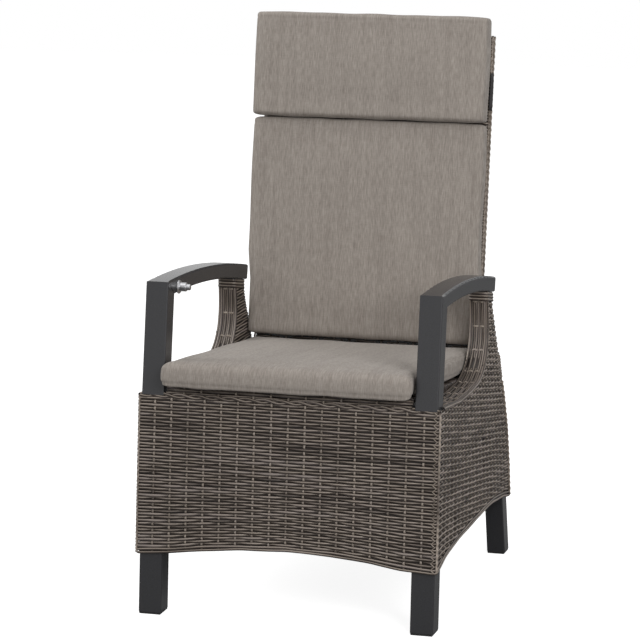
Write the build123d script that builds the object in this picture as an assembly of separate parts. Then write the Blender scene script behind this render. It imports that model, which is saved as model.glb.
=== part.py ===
from build123d import *
import math
import os

"""Reclining wicker dining armchair.

Lengths are in millimetres and angles in degrees. X runs across the chair, Y from the front
edge of the seat cushion to the back, and Z up from the floor. Every piece is built in that
layout, and save() moves it so that the origin lies on the floor at the middle of the chair.
Pieces that come in pairs are built on the +X side and mirrored."""

# Driving sizes of the base
leg_width = 46.0
leg_wall = 2.0
leg_step = 1.0
front_leg_depth = 45.0
front_lean = 5.0
seat_rail_top = 432.0
glide_height = 5.0
glide_inset = 1.0
tube_corner = 2.5
weave_thick = 7.0
row_band = 40.0
row_groove_width = 4.0
row_groove_depth = 2.0
lower_bands = 6
pillar_bands = 4
cut_over = 5.0
touch_gap = 0.3

rear_leg_width = 38.0
rear_leg_depth = 38.0
rear_leg_below_pivot = 42.0
rear_foot_behind_pivot = 68.0
rear_ankle_step = 7.0
rear_ankle_z = 120.0
rear_knee_step = 14.0
rear_knee_z = 262.0
rear_top_step = 44.0

# Armrest and its two supports
post_outer = 295.0
post_width = 45.0
post_depth = 42.0
post_foot_y = 30.5
arm_corner_y = 65.0
arm_corner_z = 648.0
arm_crown_share = 0.53644
arm_crown_z = 636.0
arm_behind_stanchion = 25.0
arm_end_z = 599.5
arm_height = 30.0
arm_cut_back = 7.0
arm_end_round = 8.0
arm_corner_round = 3.5
arm_yaw = 1.15
arm_wall = 2.5

stanchion_step = 2.5
stanchion_width = 22.0
stanchion_depth = 38.0
stanchion_behind_pivot = 20.0
stanchion_reach = 84.0
arm_plate_thick = 5.0
arm_plate_length = 64.0
arm_plate_behind = 12.0
arm_plate_step = 3.5
arm_plate_width = 33.5

# Woven side panels: the outer surface leans in towards the top at the back
side_taper = 7.5
side_top_taper = 18.5
pillar_head_z = 582.0
side_behind_foot = 1.0
side_low_z = 120.0
side_high_z = 578.0
rim_start = 62.0
rim_rise = 5.0
inner_wall_drop = 4.0

# Seat
seat_slope = 5.8
seat_nose_y = 33.0
seat_nose_rise = 21.5
seat_clearance = 5.0
deck_thick = 7.0
deck_short = 48.0
deck_flange = 19.5
deck_flange_thick = 4.0
nose_radius = 14.0
front_rail_back = 10.0
front_rail_depth = 32.0
seat_rail_height = 28.0
bearer_width = 24.0
rear_rail_short = 38.0
rear_rail_depth = 26.0
side_rail_width = 22.0
side_rail_height = 30.0
side_rail_drop = 26.0
rail_wall = 2.0

# Lower members
stretcher_below_spring = 12.0
front_stretcher_size = 25.0
front_stretcher_y = 38.0
rear_stretcher_low = 262.0
rear_stretcher_height = 26.0
rear_stretcher_depth = 24.0
hoop_height = 12.0
hoop_thick = 8.0
hoop_edge = 2.0
skirt_low = 119.0
skirt_arch = 25.0
rear_skirt_top = 376.0

# Backrest, measured along its own lean from the pivot
pivot_behind_cushion = 20.0
pivot_drop = 30.0
back_lean = 9.65
recline_max = 35.0
back_side_clearance = 6.0
stile_width = 22.0
stile_depth = 18.0
stile_below = 14.0
back_height = 683.0
back_weave_thick = 4.0
back_weave_low = 30.0
back_rail_height = 22.0
middle_rail_shares = (0.36, 0.68)
back_fit = 0.3

# Pivot hardware
bolt_diameter = 10.0
bolt_head = 17.0
bolt_head_height = 6.0
washer_diameter = 20.0
washer_thick = 1.5
bush_diameter = 14.0
bush_flange = 18.0
bush_flange_thick = 1.5
running_clearance = 0.05
bracket_thick = 5.0
bracket_below = 18.0
bracket_above = 19.0
bracket_before = 26.0
bracket_behind = 15.0
boss_diameter = 26.0

# Gas spring under the seat
spring_behind_stretcher = 50.0
lever_radius = 80.0
lever_width = 24.0
lever_head_width = 14.0
lever_thick = 4.0
lever_inner = 9.0
lever_base_half = 25.0
slot_play = 4.0
spring_pin = 8.0
eye_diameter = 20.0
eye_half_width = 8.0
clevis_inner = 12.0
clevis_thick = 4.0
clevis_base = 4.0
release_head_height = 24.0
release_head_behind = 32.0
release_head_before = 12.0
rod_diameter = 10.0
barrel_diameter = 22.0
rod_bare = 62.0
barrel_length = 225.0
extension_diameter = 14.0
piston_length = 14.0
piston_share = 0.55
release_lever_thick = 4.0
release_lug_half = 3.0
release_pivot_behind = 22.0
release_pivot_up = 19.0
release_lever_reach = 34.0
release_pin = 4.0
cable_stop_diameter = 8.0
cable_bore = 2.5

# Release button in the armrest on the -X side
button_behind_corner = 57.0
button_below_top = 19.0
button_flange = 27.0
button_flange_thick = 4.0
button_barrel = 17.5
button_barrel_length = 13.0
button_depth = 14.0
button_diameter = 12.0
button_out = 7.5
button_travel = 5.0
button_collar = 14.5
button_collar_thick = 2.0
spring_wire = 0.9
spring_turns = 5

# Cushions
cushion_clearance = 2.0
seat_cushion_length = 578.0
seat_cushion_thick = 45.0
back_cushion_low = 46.0
back_cushion_thick = 48.5
head_cushion_above = 33.0
head_cushion_height = 217.0
head_cushion_thick = 64.0
strap_drop = 158.0
strap_height = 80.0
strap_thick = 1.5


def tan(angle):
    return math.tan(math.radians(angle))


def sin(angle):
    return math.sin(math.radians(angle))


def cos(angle):
    return math.cos(math.radians(angle))


# Widths that follow the armrest posts
post_inner = post_outer - post_width
front_leg_outer = post_outer + leg_step
front_leg_inner = front_leg_outer - leg_width
side_front_x = front_leg_outer + weave_thick
side_rear_x = side_front_x - side_taper
side_rear_top_x = side_rear_x - side_top_taper
stanchion_inner = post_inner + stanchion_step
pillar_inner = stanchion_inner - weave_thick
arm_plate_inner = post_inner - arm_plate_step
arm_plate_outer = arm_plate_inner + arm_plate_width
seat_half_width = post_inner - seat_clearance
cushion_half = seat_half_width - cushion_clearance
stile_outer = pillar_inner - back_side_clearance - back_weave_thick

# Depths that follow the seat cushion
pivot_y = seat_cushion_length + pivot_behind_cushion
deck_length = seat_cushion_length - deck_short
rear_rail_front = deck_length - rear_rail_short
rear_foot_y = pivot_y + rear_foot_behind_pivot
rear_ankle_y = rear_foot_y - rear_ankle_step
rear_knee_y = rear_foot_y - rear_knee_step
rear_leg_top_y = rear_foot_y - rear_top_step
side_rear_y = rear_foot_y + side_behind_foot
stanchion_foot_y = pivot_y + stanchion_behind_pivot
stanchion_head_y = stanchion_foot_y - stanchion_reach
arm_plate_back = stanchion_head_y + arm_plate_behind
arm_plate_front = arm_plate_back - arm_plate_length
arm_end_y = stanchion_head_y + arm_behind_stanchion
arm_crown_y = arm_corner_y + (arm_end_y - arm_corner_y) * arm_crown_share
bracket_front = pivot_y - bracket_before
bracket_back = pivot_y + bracket_behind
spring_front_y = front_stretcher_y + spring_behind_stretcher
release_head_front = spring_front_y - release_head_before
release_head_back = spring_front_y + release_head_behind
release_pivot_y = spring_front_y + release_pivot_behind
barrel_front = release_head_back + rod_bare
button_y = arm_corner_y + button_behind_corner

# Heights that follow the seat frame, the armrest and the backrest
pivot_z = seat_rail_top - pivot_drop
rear_leg_height = pivot_z - rear_leg_below_pivot
seat_nose_z = seat_rail_top + seat_nose_rise
side_rail_top = seat_rail_top - side_rail_drop
rim_front_z = seat_rail_top + rim_rise
inner_wall_low = seat_rail_top - inner_wall_drop
bracket_low = pivot_z - bracket_below
bracket_high = pivot_z + bracket_above
spring_z = pivot_z - lever_radius
front_stretcher_low = spring_z - stretcher_below_spring
button_z = arm_corner_z - button_below_top
head_cushion_high = back_height + head_cushion_above
back_cushion_high = head_cushion_high - head_cushion_height
strap_low = back_height - strap_drop
back_half = stile_outer + back_weave_thick
back_skin = stile_depth / 2 + back_weave_thick
chair_depth = pivot_y + back_height * sin(back_lean) + back_skin * cos(back_lean)
side_lean = (side_rear_x - side_rear_top_x) / (side_high_z - side_low_z)
arm_post_lean = (arm_corner_y - post_foot_y) / (arm_corner_z - seat_rail_top)
seat_place = Pos(0, seat_nose_y, seat_nose_z) * Rot(-seat_slope, 0, 0)
back_place = Pos(0, pivot_y, pivot_z) * Rot(-back_lean, 0, 0)

os.makedirs("parts", exist_ok=True)


def save(name, *solids):
    """Moves the piece to the origin at the middle of the chair and writes it."""
    placed = [Pos(0, -chair_depth / 2, 0) * solid for solid in solids]
    piece = placed[0] if len(placed) == 1 else Compound(children=placed)
    export_step(piece, f"parts/{name}.step")


def other_side(solid):
    return mirror(solid, about=Plane.YZ)


def both(solid):
    return [solid, other_side(solid)]


def save_pair(name, solid):
    """Writes the sitter's left piece, on the +X side, and its mirror image."""
    save(f"left_{name}", solid)
    save(f"right_{name}", other_side(solid))


def block(x, y, z):
    """Box from three (low, high) pairs."""
    size = [high - low for low, high in (x, y, z)]
    centre = [(high + low) / 2 for low, high in (x, y, z)]
    return Pos(*centre) * Box(*size)


def side_prism(edges, x_low, x_high):
    """Closed outline of (y, z) edges, extruded across the chair from x_low to x_high."""
    plane = Plane(origin=(x_low, 0, 0), x_dir=(0, 1, 0), z_dir=(1, 0, 0))
    return extrude(plane * make_face(edges), amount=x_high - x_low)


def outline(points):
    """Edges of a closed polygon."""
    return Polyline(*points, close=True).edges()


def rod(x_low, x_high, y, z, diameter):
    """Round bar across the chair."""
    length = x_high - x_low
    return Pos(x_low + length / 2, y, z) * Rot(0, 90, 0) * Cylinder(diameter / 2, length)


def bar(y_low, y_high, x, z, diameter):
    """Round bar from front to back."""
    length = y_high - y_low
    return Pos(x, y_low + length / 2, z) * Rot(90, 0, 0) * Cylinder(diameter / 2, length)


def round_long_edges(solid, radius, shortest):
    """Rounds the edges that run the length of a tube and leaves its cut ends sharp."""
    long_edges = [edge for edge in solid.edges() if edge.length > shortest]
    return fillet(long_edges, radius)


def bent_tube(front, back, x_low, x_high, wall):
    """Square tube whose front and back faces follow two lists of (y, z), low to high."""
    outer = side_prism(outline(front + back[::-1]), x_low, x_high)
    shortest = 1.2 * max(x_high - x_low, back[0][0] - front[0][0])
    outer = round_long_edges(outer, tube_corner, shortest)
    hollow_front = run_past([(y + wall, z) for y, z in front])
    hollow_back = run_past([(y - wall, z) for y, z in back])
    hollow = side_prism(outline(hollow_front + hollow_back[::-1]), x_low + wall, x_high - wall)
    return outer - hollow


def run_past(line):
    """Lengthens a line of (y, z) points by the overrun at both ends."""
    def beyond(end, inner):
        run = math.hypot(end[0] - inner[0], end[1] - inner[1])
        step = cut_over / run
        return (end[0] + (end[0] - inner[0]) * step, end[1] + (end[1] - inner[1]) * step)

    return [beyond(line[0], line[1])] + line[1:-1] + [beyond(line[-1], line[-2])]


def wave(span_low, span_high, base, rise, shares):
    """Points of an arched lower edge from shares of its span and of its rise."""
    span = span_high - span_low
    return [(span_low + span * along, base + rise * up) for along, up in shares]


# Arched lower edges, as shares of the span and of the rise
front_arch_shares = ((0, 0), (0.12, 0.2), (0.22, 0.56), (0.35, 0.86), (0.5, 1),
                     (0.65, 0.86), (0.78, 0.56), (0.88, 0.2), (1, 0))
side_arch_shares = ((0, 0.08), (0.11, 0.68), (0.27, 0.97), (0.45, 1), (0.62, 0.98),
                    (0.76, 0.85), (0.9, 0.4), (1, -0.1))

# Edges of the side panel, as shares of its length and height: the rim runs from the arm post
# to the armrest, and the back edge from the rear foot to the armrest
rim_shares = ((0, 0.027), (0.152, -0.02), (0.357, -0.093), (0.588, -0.11), (0.781, -0.093),
              (0.881, -0.013), (0.957, 0.12), (1.005, 0.32), (1.019, 0.553), (1.014, 0.773), (1, 1))
back_edge_shares = ((-0.008, 0.153), (0.058, 0.337), (0.223, 0.477), (0.397, 0.59), (0.529, 0.693),
                    (0.736, 0.806), (0.893, 0.89), (1, 0.972))
rim_span = arm_plate_front - rim_start
rim_height = pillar_head_z - seat_rail_top
rim = [(rim_start + rim_span * along, seat_rail_top + rim_height * up) for along, up in rim_shares]


def inward(line, distance):
    """Line of (y, z) moved to its left-hand side by a distance."""
    moved = []
    for index, (y, z) in enumerate(line):
        before = line[max(index - 1, 0)]
        after = line[min(index + 1, len(line) - 1)]
        run = math.hypot(after[0] - before[0], after[1] - before[1])
        left = (-(after[1] - before[1]) / run, (after[0] - before[0]) / run)
        moved.append((y + left[0] * distance, z + left[1] * distance))
    return moved


def side_x(y, z):
    """Outer face of the woven side at a height and a distance from the front."""
    rear = side_rear_x - side_lean * (z - side_low_z)
    return side_front_x + (rear - side_front_x) * y / side_rear_y


def side_space(skin):
    """Everything between the middle of the chair and a skin's depth inside the side."""
    low = side_low_z - 8 * cut_over
    high = side_high_z + 8 * cut_over
    front = -2 * cut_over
    back = side_rear_y + 2 * cut_over
    rings = []
    for z in (low, high):
        corners = [(0, front), (side_x(front, z) - skin, front), (side_x(back, z) - skin, back), (0, back)]
        rings.append(Plane(origin=(0, 0, z)) * make_face(Polyline(*corners, close=True).edges()))
    return loft(rings, ruled=True)


def strip(line, thick):
    """Closed outline of a band that lies inside a line of (y, z)."""
    inner = inward(line, thick)
    return [Spline(*line), Line(line[-1], inner[-1]), Spline(*inner[::-1]), Line(inner[0], line[0])]


def front_leg():
    def front(z):
        return z * tan(front_lean)

    ends = (glide_height, seat_rail_top)
    face = [(front(z), z) for z in ends]
    back = [(front(z) + front_leg_depth, z) for z in ends]
    return bent_tube(face, back, front_leg_inner, front_leg_outer, leg_wall)


rear_leg_back = [(rear_foot_y, glide_height), (rear_ankle_y, rear_ankle_z),
                 (rear_knee_y, rear_knee_z), (rear_leg_top_y, rear_leg_height)]
rear_leg_outer = side_x(rear_ankle_y, rear_ankle_z) - weave_thick - touch_gap
rear_leg_tilt = math.degrees(math.atan(side_lean))


def rear_tilt():
    """Leans a rear leg inwards about the outer edge of its ankle."""
    pivot = Pos(rear_leg_outer, 0, rear_ankle_z)
    return pivot * Rot(0, -rear_leg_tilt, 0) * pivot.inverse()


def rear_leg():
    front = [(y - rear_leg_depth, z) for y, z in rear_leg_back]
    inner = rear_leg_outer - rear_leg_width
    leg = bent_tube(front, rear_leg_back, inner, rear_leg_outer, leg_wall)
    leg = rear_tilt() * leg
    return leg & block((0, 2 * rear_leg_outer), (0, 2 * rear_foot_y), (glide_height, rear_leg_height))


def rear_leg_inner_x(z):
    return rear_leg_outer - rear_leg_width / cos(rear_leg_tilt) - side_lean * (z - rear_ankle_z)


def foot_glides():
    """Plastic glides plugged into the four legs, with a chamfered tread."""
    front_y = front_leg_depth / 2 + glide_height * tan(front_lean)
    rear_y = rear_foot_y - rear_leg_depth / 2
    rear_x = rear_leg_inner_x(glide_height) + rear_leg_width / 2
    feet = ((front_leg_outer - leg_width / 2, front_y, leg_width, front_leg_depth),
            (rear_x, rear_y, rear_leg_width, rear_leg_depth))
    glides = []
    for x, y, wide, deep in feet:
        tread = Box(wide - 2 * glide_inset, deep - 2 * glide_inset, glide_height)
        tread = chamfer(tread.faces().sort_by(Axis.Z)[0].edges(), glide_height / 3)
        tread = Pos(x, y, glide_height / 2) * tread
        glides += [tread, other_side(tread)]
    return glides


def arm_arc(drop, trim):
    """Arc that follows the armrest, a drop below its top, lengthened past the mitre."""
    crown = (arm_crown_y, arm_crown_z - drop)
    end = (arm_end_y - trim, arm_end_z - drop)
    arc = ThreePointArc((arm_corner_y, arm_corner_z - drop), crown, end)
    front_y = arm_corner_y - cut_over
    return ThreePointArc((front_y, arc_height(arc, front_y)), crown, end)


def arc_height(arc, y):
    """Height of an arched line at a distance from the front."""
    centre = arc.arc_center
    return centre.Y + math.sqrt(arc.radius ** 2 - (y - centre.X) ** 2)


def arm_under(y):
    return arc_height(arm_arc(arm_height, arm_cut_back), y)


def arm_blank(inset):
    """Solid armrest up to its slanted rear end, moved in by an inset."""
    top = arm_arc(inset, inset)
    bottom = arm_arc(arm_height - inset, arm_cut_back + inset)
    edges = [top, Line(top @ 1, bottom @ 1), bottom, Line(bottom @ 0, top @ 0)]
    return side_prism(edges, post_inner + inset, post_outer - inset)


mitre_y = post_foot_y + post_depth + (arm_corner_z - arm_height - seat_rail_top) * arm_post_lean
mitre = Plane(origin=(0, arm_corner_y, arm_corner_z), x_dir=(1, 0, 0),
              z_dir=(0, arm_height, mitre_y - arm_corner_y))
arm_hinge = Pos(post_outer, arm_corner_y, 0)
arm_turn = arm_hinge * Rot(0, 0, arm_yaw) * arm_hinge.inverse()


def armrest():
    outer = round_long_edges(arm_blank(0), arm_corner_round, 2 * post_width)
    rear_edges = outer.edges().filter_by(Axis.X).sort_by(Axis.Y)[-2:]
    outer = fillet(rear_edges.sort_by(Axis.Z)[0], arm_end_round)
    arm = arm_turn * (outer - arm_blank(arm_wall))
    return split(arm, bisect_by=mitre, keep=Keep.TOP)


def arm_post():
    def front(z):
        return post_foot_y + (z - seat_rail_top) * arm_post_lean

    ends = (seat_rail_top, arm_corner_z + cut_over)
    face = [(front(z), z) for z in ends]
    back = [(front(z) + post_depth, z) for z in ends]
    post = bent_tube(face, back, post_inner, post_outer, leg_wall)
    return split(post, bisect_by=mitre, keep=Keep.BOTTOM)


def plate_top(y):
    """Flat top of the plate, just below a chord of the armrest's arched underside."""
    low = arm_under(arm_plate_front) - touch_gap
    high = arm_under(arm_plate_back) - touch_gap
    return low + (high - low) * (y - arm_plate_front) / (arm_plate_back - arm_plate_front)


def arm_plate():
    """Plate welded on the stanchion, which the armrest is welded to."""
    ends = (arm_plate_front, arm_plate_back)
    top = [(y, plate_top(y)) for y in ends]
    under = [(y, plate_top(y) - arm_plate_thick) for y in ends]
    return side_prism(outline(top + under[::-1]), arm_plate_inner, arm_plate_outer)


def stanchion_line(z):
    """Back face of the stanchion at a height."""
    share = (z - rear_leg_height) / (plate_top(arm_plate_back) - rear_leg_height)
    return stanchion_foot_y + (stanchion_head_y - stanchion_foot_y) * share


def above_plate_foot(reach):
    """Everything above the underside of the plate on the stanchion, out to a reach past its ends."""
    ends = (arm_plate_front - reach, arm_plate_back + reach)
    under = [(y, plate_top(y) - arm_plate_thick) for y in ends]
    over = [(ends[1], chair_depth), (ends[0], chair_depth)]
    return side_prism(outline(under + over), 0, chair_depth)


def stanchion():
    back = [(stanchion_line(z), z) for z in (rear_leg_height, arm_corner_z)]
    front = [(y - stanchion_depth, z) for y, z in back]
    tube = bent_tube(front, back, stanchion_inner, stanchion_inner + stanchion_width, leg_wall)
    return tube - above_plate_foot(stanchion_reach)


def side_rail():
    ends = (side_rail_top - side_rail_height, side_rail_top)
    front = [(z * tan(front_lean) + front_leg_depth, z) for z in ends]
    back = [(stanchion_line(z) - stanchion_depth, z) for z in ends]
    x_low = stanchion_inner
    x_high = stanchion_inner + side_rail_width
    outer = side_prism(outline(front + back[::-1]), x_low, x_high)
    outer = round_long_edges(outer, tube_corner, 2 * side_rail_height)
    hollow = block((x_low + rail_wall, x_high - rail_wall), (0, chair_depth),
                   (ends[0] + rail_wall, ends[1] - rail_wall))
    return outer - hollow


def cross_tube(half, y, z, wall):
    """Rectangular tube across the chair from its (low, high) pairs."""
    outer = block((-half, half), y, z)
    outer = fillet(outer.edges().filter_by(Axis.X), tube_corner)
    inner_y = (y[0] + wall, y[1] - wall)
    inner_z = (z[0] + wall, z[1] - wall)
    return outer - block((-half - cut_over, half + cut_over), inner_y, inner_z)


def front_rail():
    low = -deck_thick - seat_rail_height
    depth = (front_rail_back, front_rail_back + front_rail_depth)
    return seat_place * cross_tube(front_leg_inner, depth, (low, -deck_thick), rail_wall)


def seat_rear_rail():
    low = -deck_thick - seat_rail_height
    depth = (rear_rail_front, rear_rail_front + rear_rail_depth)
    return seat_place * cross_tube(stanchion_inner, depth, (low, -deck_thick), rail_wall)


def seat_bearer():
    high = seat_half_width - deck_flange_thick
    front = front_rail_back + front_rail_depth
    low = -deck_thick - seat_rail_height
    outer = block((high - bearer_width, high), (front, rear_rail_front), (low, -deck_thick))
    outer = fillet(outer.edges().filter_by(Axis.Y), tube_corner)
    hollow = block((high - bearer_width + rail_wall, high - rail_wall), (0, chair_depth),
                   (low + rail_wall, -deck_thick - rail_wall))
    return seat_place * (outer - hollow)


def front_stretcher():
    y = (front_stretcher_y, front_stretcher_y + front_stretcher_size)
    z = (front_stretcher_low, front_stretcher_low + front_stretcher_size)
    return cross_tube(front_leg_inner, y, z, rail_wall)


def rear_stretcher():
    z = (rear_stretcher_low, rear_stretcher_low + rear_stretcher_height)
    back = rear_knee_y - 2 * rail_wall
    tube = cross_tube(rear_leg_outer, (back - rear_stretcher_depth, back), z, rail_wall)
    ends = [(rear_leg_inner_x(level), level) for level in z]
    corners = ends + [(-x, level) for x, level in ends[::-1]]
    trim = Plane.XZ * make_face(outline(corners))
    return tube & extrude(trim, amount=chair_depth, both=True)


def front_skirt_face(z, skin):
    """Distance of the front weave from the front, a skin's depth inside its outer face."""
    return z * tan(front_lean) - weave_thick + skin


front_arch = wave(-side_front_x, side_front_x, skirt_low, skirt_arch, front_arch_shares)


def leaning_slab(face_line, thick, low, high):
    """Slab across the chair whose front face follows a line of y against z."""
    front = [(face_line(z), z) for z in (low, high)]
    back = [(y + thick, z) for y, z in front]
    return side_prism(outline(front + back[::-1]), -side_front_x, side_front_x)


def between_rows(first, last):
    """Thin level layers through the whole chair, where one band of woven rows meets the next.

    Bands are counted up from the top of the front weave."""
    layers = []
    for band in range(first, last):
        low = seat_rail_top + row_band * band
        across = (-side_front_x - cut_over, side_front_x + cut_over)
        layers.append(block(across, (-2 * cut_over, chair_depth), (low, low + row_groove_width)))
    return Part() + layers


def front_skirt_weave():
    corners = [front_arch[-1], (side_front_x, seat_rail_top), (-side_front_x, seat_rail_top), front_arch[0]]
    face = make_face([Spline(*front_arch), *Polyline(*corners).edges()])
    panel = extrude(Plane.XZ * face, amount=chair_depth, both=True)
    low = skirt_low - 2 * cut_over
    high = seat_rail_top + 2 * cut_over
    panel &= leaning_slab(lambda z: front_skirt_face(z, 0), weave_thick, low, high)
    upright = [edge for edge in panel.edges() if edge.length > (seat_rail_top - skirt_low) / 2]
    corner = [edge for edge in upright if abs((edge @ 0.5).X) > side_front_x - touch_gap]
    outer = sorted(corner, key=lambda edge: (edge @ 0.5).Y)[:2]
    panel = fillet(outer, weave_thick - 2 * touch_gap)
    skin = leaning_slab(lambda z: front_skirt_face(z, -weave_thick), weave_thick + row_groove_depth, low, high)
    return panel - (skin & between_rows(-lower_bands, 0))


def arched_bar(points):
    """Upright bar that follows the inner points of an arch, cut far in front and behind."""
    low = [(along, z + hoop_edge) for along, z in points]
    high = [(along, z + hoop_height) for along, z in low[::-1]]
    lower = Spline(*low)
    upper = Spline(*high)
    return [lower, Line(lower @ 1, upper @ 0), upper, Line(upper @ 1, lower @ 0)]


def front_hoop():
    """Flat bar bent to the arch, which the lower edge of the front weave is wound on."""
    bent = extrude(Plane.XZ * make_face(arched_bar(front_arch[1:-1])), amount=chair_depth, both=True)
    low = skirt_low - 2 * cut_over
    return bent & leaning_slab(lambda z: front_skirt_face(z, weave_thick), hoop_thick, low, seat_rail_top)


side_arch_start = (skirt_low + skirt_arch * side_arch_shares[0][1]) * tan(front_lean)
side_arch = wave(side_arch_start, side_rear_y, skirt_low, skirt_arch, side_arch_shares)
back_run = side_rear_y - arm_plate_back
back_edge = [side_arch[-1]] + [(side_rear_y - back_run * along, skirt_low + (pillar_head_z - skirt_low) * up)
                               for along, up in back_edge_shares]


def panel_outline():
    """Side panel and pillar in one outline: arch, back edge, armrest, rim and front edge."""
    front_top = (rim_front_z * tan(front_lean), rim_front_z)
    arch = Spline(*side_arch)
    back = Spline(*back_edge)
    edge = Spline(*rim)
    return [arch, back, Line(back @ 1, edge @ 1), edge, Line(edge @ 0, front_top),
            Line(front_top, arch @ 0)]


def side_weave():
    """Woven side: outer wall, rim band, and the pillar's inner and rear walls."""
    outside = side_space(0)
    inside = side_space(weave_thick)
    whole = side_prism(panel_outline(), pillar_inner, side_front_x + cut_over)
    wall = whole & (outside - inside)
    post_clear = seat_rail_top * tan(front_lean) + front_leg_depth + touch_gap
    behind_post = (post_clear, side_rear_y)
    shell_zone = block((pillar_inner, side_front_x), behind_post, (inner_wall_low, chair_depth))
    band_zone = block((pillar_inner, side_front_x), behind_post, (0, chair_depth))
    band = side_prism(strip(rim[::-1], weave_thick), pillar_inner, side_front_x) & outside & band_zone
    rear = side_prism(strip(back_edge, weave_thick), pillar_inner, side_front_x) & outside & shell_zone
    pillar_zone = block((pillar_inner, pillar_inner + weave_thick), (rim[len(rim) // 2][0], side_rear_y),
                        (inner_wall_low, chair_depth))
    inner = whole & pillar_zone
    leg_zone = block((0, front_leg_outer + touch_gap), (-cut_over, post_clear), (0, chair_depth))
    woven = (wall + band + rear + inner) - leg_zone - above_plate_foot(8 * cut_over)
    return woven - (between_rows(-lower_bands, pillar_bands) - side_space(row_groove_depth))


def side_hoop():
    """Flat bar bent to the side's lower arch, inside the weave."""
    layer = side_space(weave_thick + touch_gap) - side_space(weave_thick + hoop_thick)
    return side_prism(arched_bar(side_arch[1:-1]), 0, side_front_x) & layer


def rear_skirt_weave():
    """Woven panel between the side panels, with its outer face on their back edge."""
    panel = side_prism(strip(back_edge, weave_thick), -side_front_x, side_front_x)
    width = side_space(weave_thick)
    width += other_side(width)
    sides = Polyline(front_arch[-1], (side_front_x, rear_skirt_top), (-side_front_x, rear_skirt_top),
                     front_arch[0])
    face = make_face([Spline(*front_arch), *sides.edges()])
    panel = panel & width & extrude(Plane.XZ * face, amount=chair_depth, both=True)
    skin = side_prism(strip(back_edge, row_groove_depth), -side_front_x, side_front_x)
    return panel - (skin & between_rows(-lower_bands, -1))


def rear_hoop():
    """Flat bar bent to the rear arch, between the rear legs."""
    skin = inward(back_edge, weave_thick + touch_gap)
    layer = side_prism(strip(skin, hoop_thick), -side_front_x, side_front_x)
    bent = extrude(Plane.XZ * make_face(arched_bar(front_arch[1:-1])), amount=chair_depth, both=True)
    x_free = rear_leg_inner_x(skirt_low + skirt_arch + hoop_height)
    return bent & layer & block((-x_free, x_free), (0, chair_depth), (0, chair_depth))


def seat_deck():
    """Woven seat: a sloping sheet with side flanges and a nose rolled over the front rail."""
    low = -deck_flange
    whole = block((-seat_half_width, seat_half_width), (0, deck_length), (low, 0))
    front_edges = whole.edges().filter_by(Axis.X).sort_by(Axis.Y)[:2]
    whole = fillet(front_edges.sort_by(Axis.Z)[-1], nose_radius)
    inner_half = seat_half_width - deck_flange_thick
    pocket = block((-inner_half, inner_half), (deck_thick, 2 * deck_length), (2 * low, -deck_thick))
    for start, depth in ((front_rail_back, front_rail_depth), (rear_rail_front, rear_rail_depth)):
        notch = block((-seat_half_width, seat_half_width), (start, start + depth), (2 * low, -deck_thick))
        whole -= notch
    return seat_place * (whole - pocket)


cushion_shares = ((0.0, 0.968, 0.2, 0.6), (0.012, 0.984, 0.08, 0.82), (0.035, 0.996, 0.02, 0.94),
                  (0.08, 1.0, 0.0, 0.985), (0.3, 0.993, 0.0, 1.0), (0.5, 0.99, 0.0, 1.0),
                  (0.7, 0.993, 0.0, 1.0), (0.92, 1.0, 0.0, 0.985), (0.965, 0.996, 0.02, 0.94),
                  (0.988, 0.984, 0.08, 0.82), (1.0, 0.968, 0.2, 0.6))


cushion_flat_share = 0.955
cushion_side_shares = (0.2, 0.78, 0.93)


def cushion(half, length, thick):
    """Stuffed cushion lying flat: crowned top, rounded edges and drawn-in sides.

    Each share names a place along the cushion, its width, and how high its lower and upper
    faces lie there."""
    rings = []
    for along, wide, low, high in cushion_shares:
        reach = half * wide
        flat = half * (wide - 1 + cushion_flat_share)
        bottom = thick * low
        top = thick * high
        low_side, high_side, shoulder = [bottom + (top - bottom) * up for up in cushion_side_shares]
        points = [(-flat, bottom), (flat, bottom), (reach, low_side), (reach, high_side), (flat, shoulder)]
        crown = ThreePointArc((flat, shoulder), (0, top), (-flat, shoulder))
        lines = Polyline(*points).edges()
        back = Polyline((-flat, shoulder), (-reach, high_side), (-reach, low_side), (-flat, bottom)).edges()
        ring = make_face([*lines, crown, *back])
        rings.append(Plane(origin=(0, length * along, 0), x_dir=(1, 0, 0), z_dir=(0, -1, 0)) * ring)
    return loft(rings, ruled=True)


def seat_cushion():
    place = seat_place * Pos(0, -seat_nose_y / cos(seat_slope), touch_gap)
    return place * cushion(cushion_half, seat_cushion_length, seat_cushion_thick)


def back_pad(low, high, thick):
    """Cushion that lies on the front of the back panel, from a low to a high place on it."""
    place = Pos(0, -back_skin - touch_gap, low) * Rot(90, 0, 0)
    return back_place * place * cushion(cushion_half, high - low, thick)


def stile():
    inner = stile_outer - stile_width
    tube = block((inner, stile_outer), (-stile_depth / 2, stile_depth / 2),
                 (-stile_below, back_height - back_weave_thick))
    tube = fillet(tube.edges().filter_by(Axis.Z), tube_corner)
    hollow_half = stile_depth / 2 - rail_wall
    tube -= block((inner + rail_wall, stile_outer - rail_wall), (-hollow_half, hollow_half),
                  (-back_height, 2 * back_height))
    tube -= Rot(0, 90, 0) * Cylinder(bush_diameter / 2 + touch_gap / 6, 4 * stile_outer)
    return back_place * tube


def back_rail(low):
    """Cross tube of the backrest between the two stiles."""
    half = stile_outer - stile_width
    depth = (-stile_depth / 2, stile_depth / 2)
    return back_place * cross_tube(half, depth, (low, low + back_rail_height), rail_wall)


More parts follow.
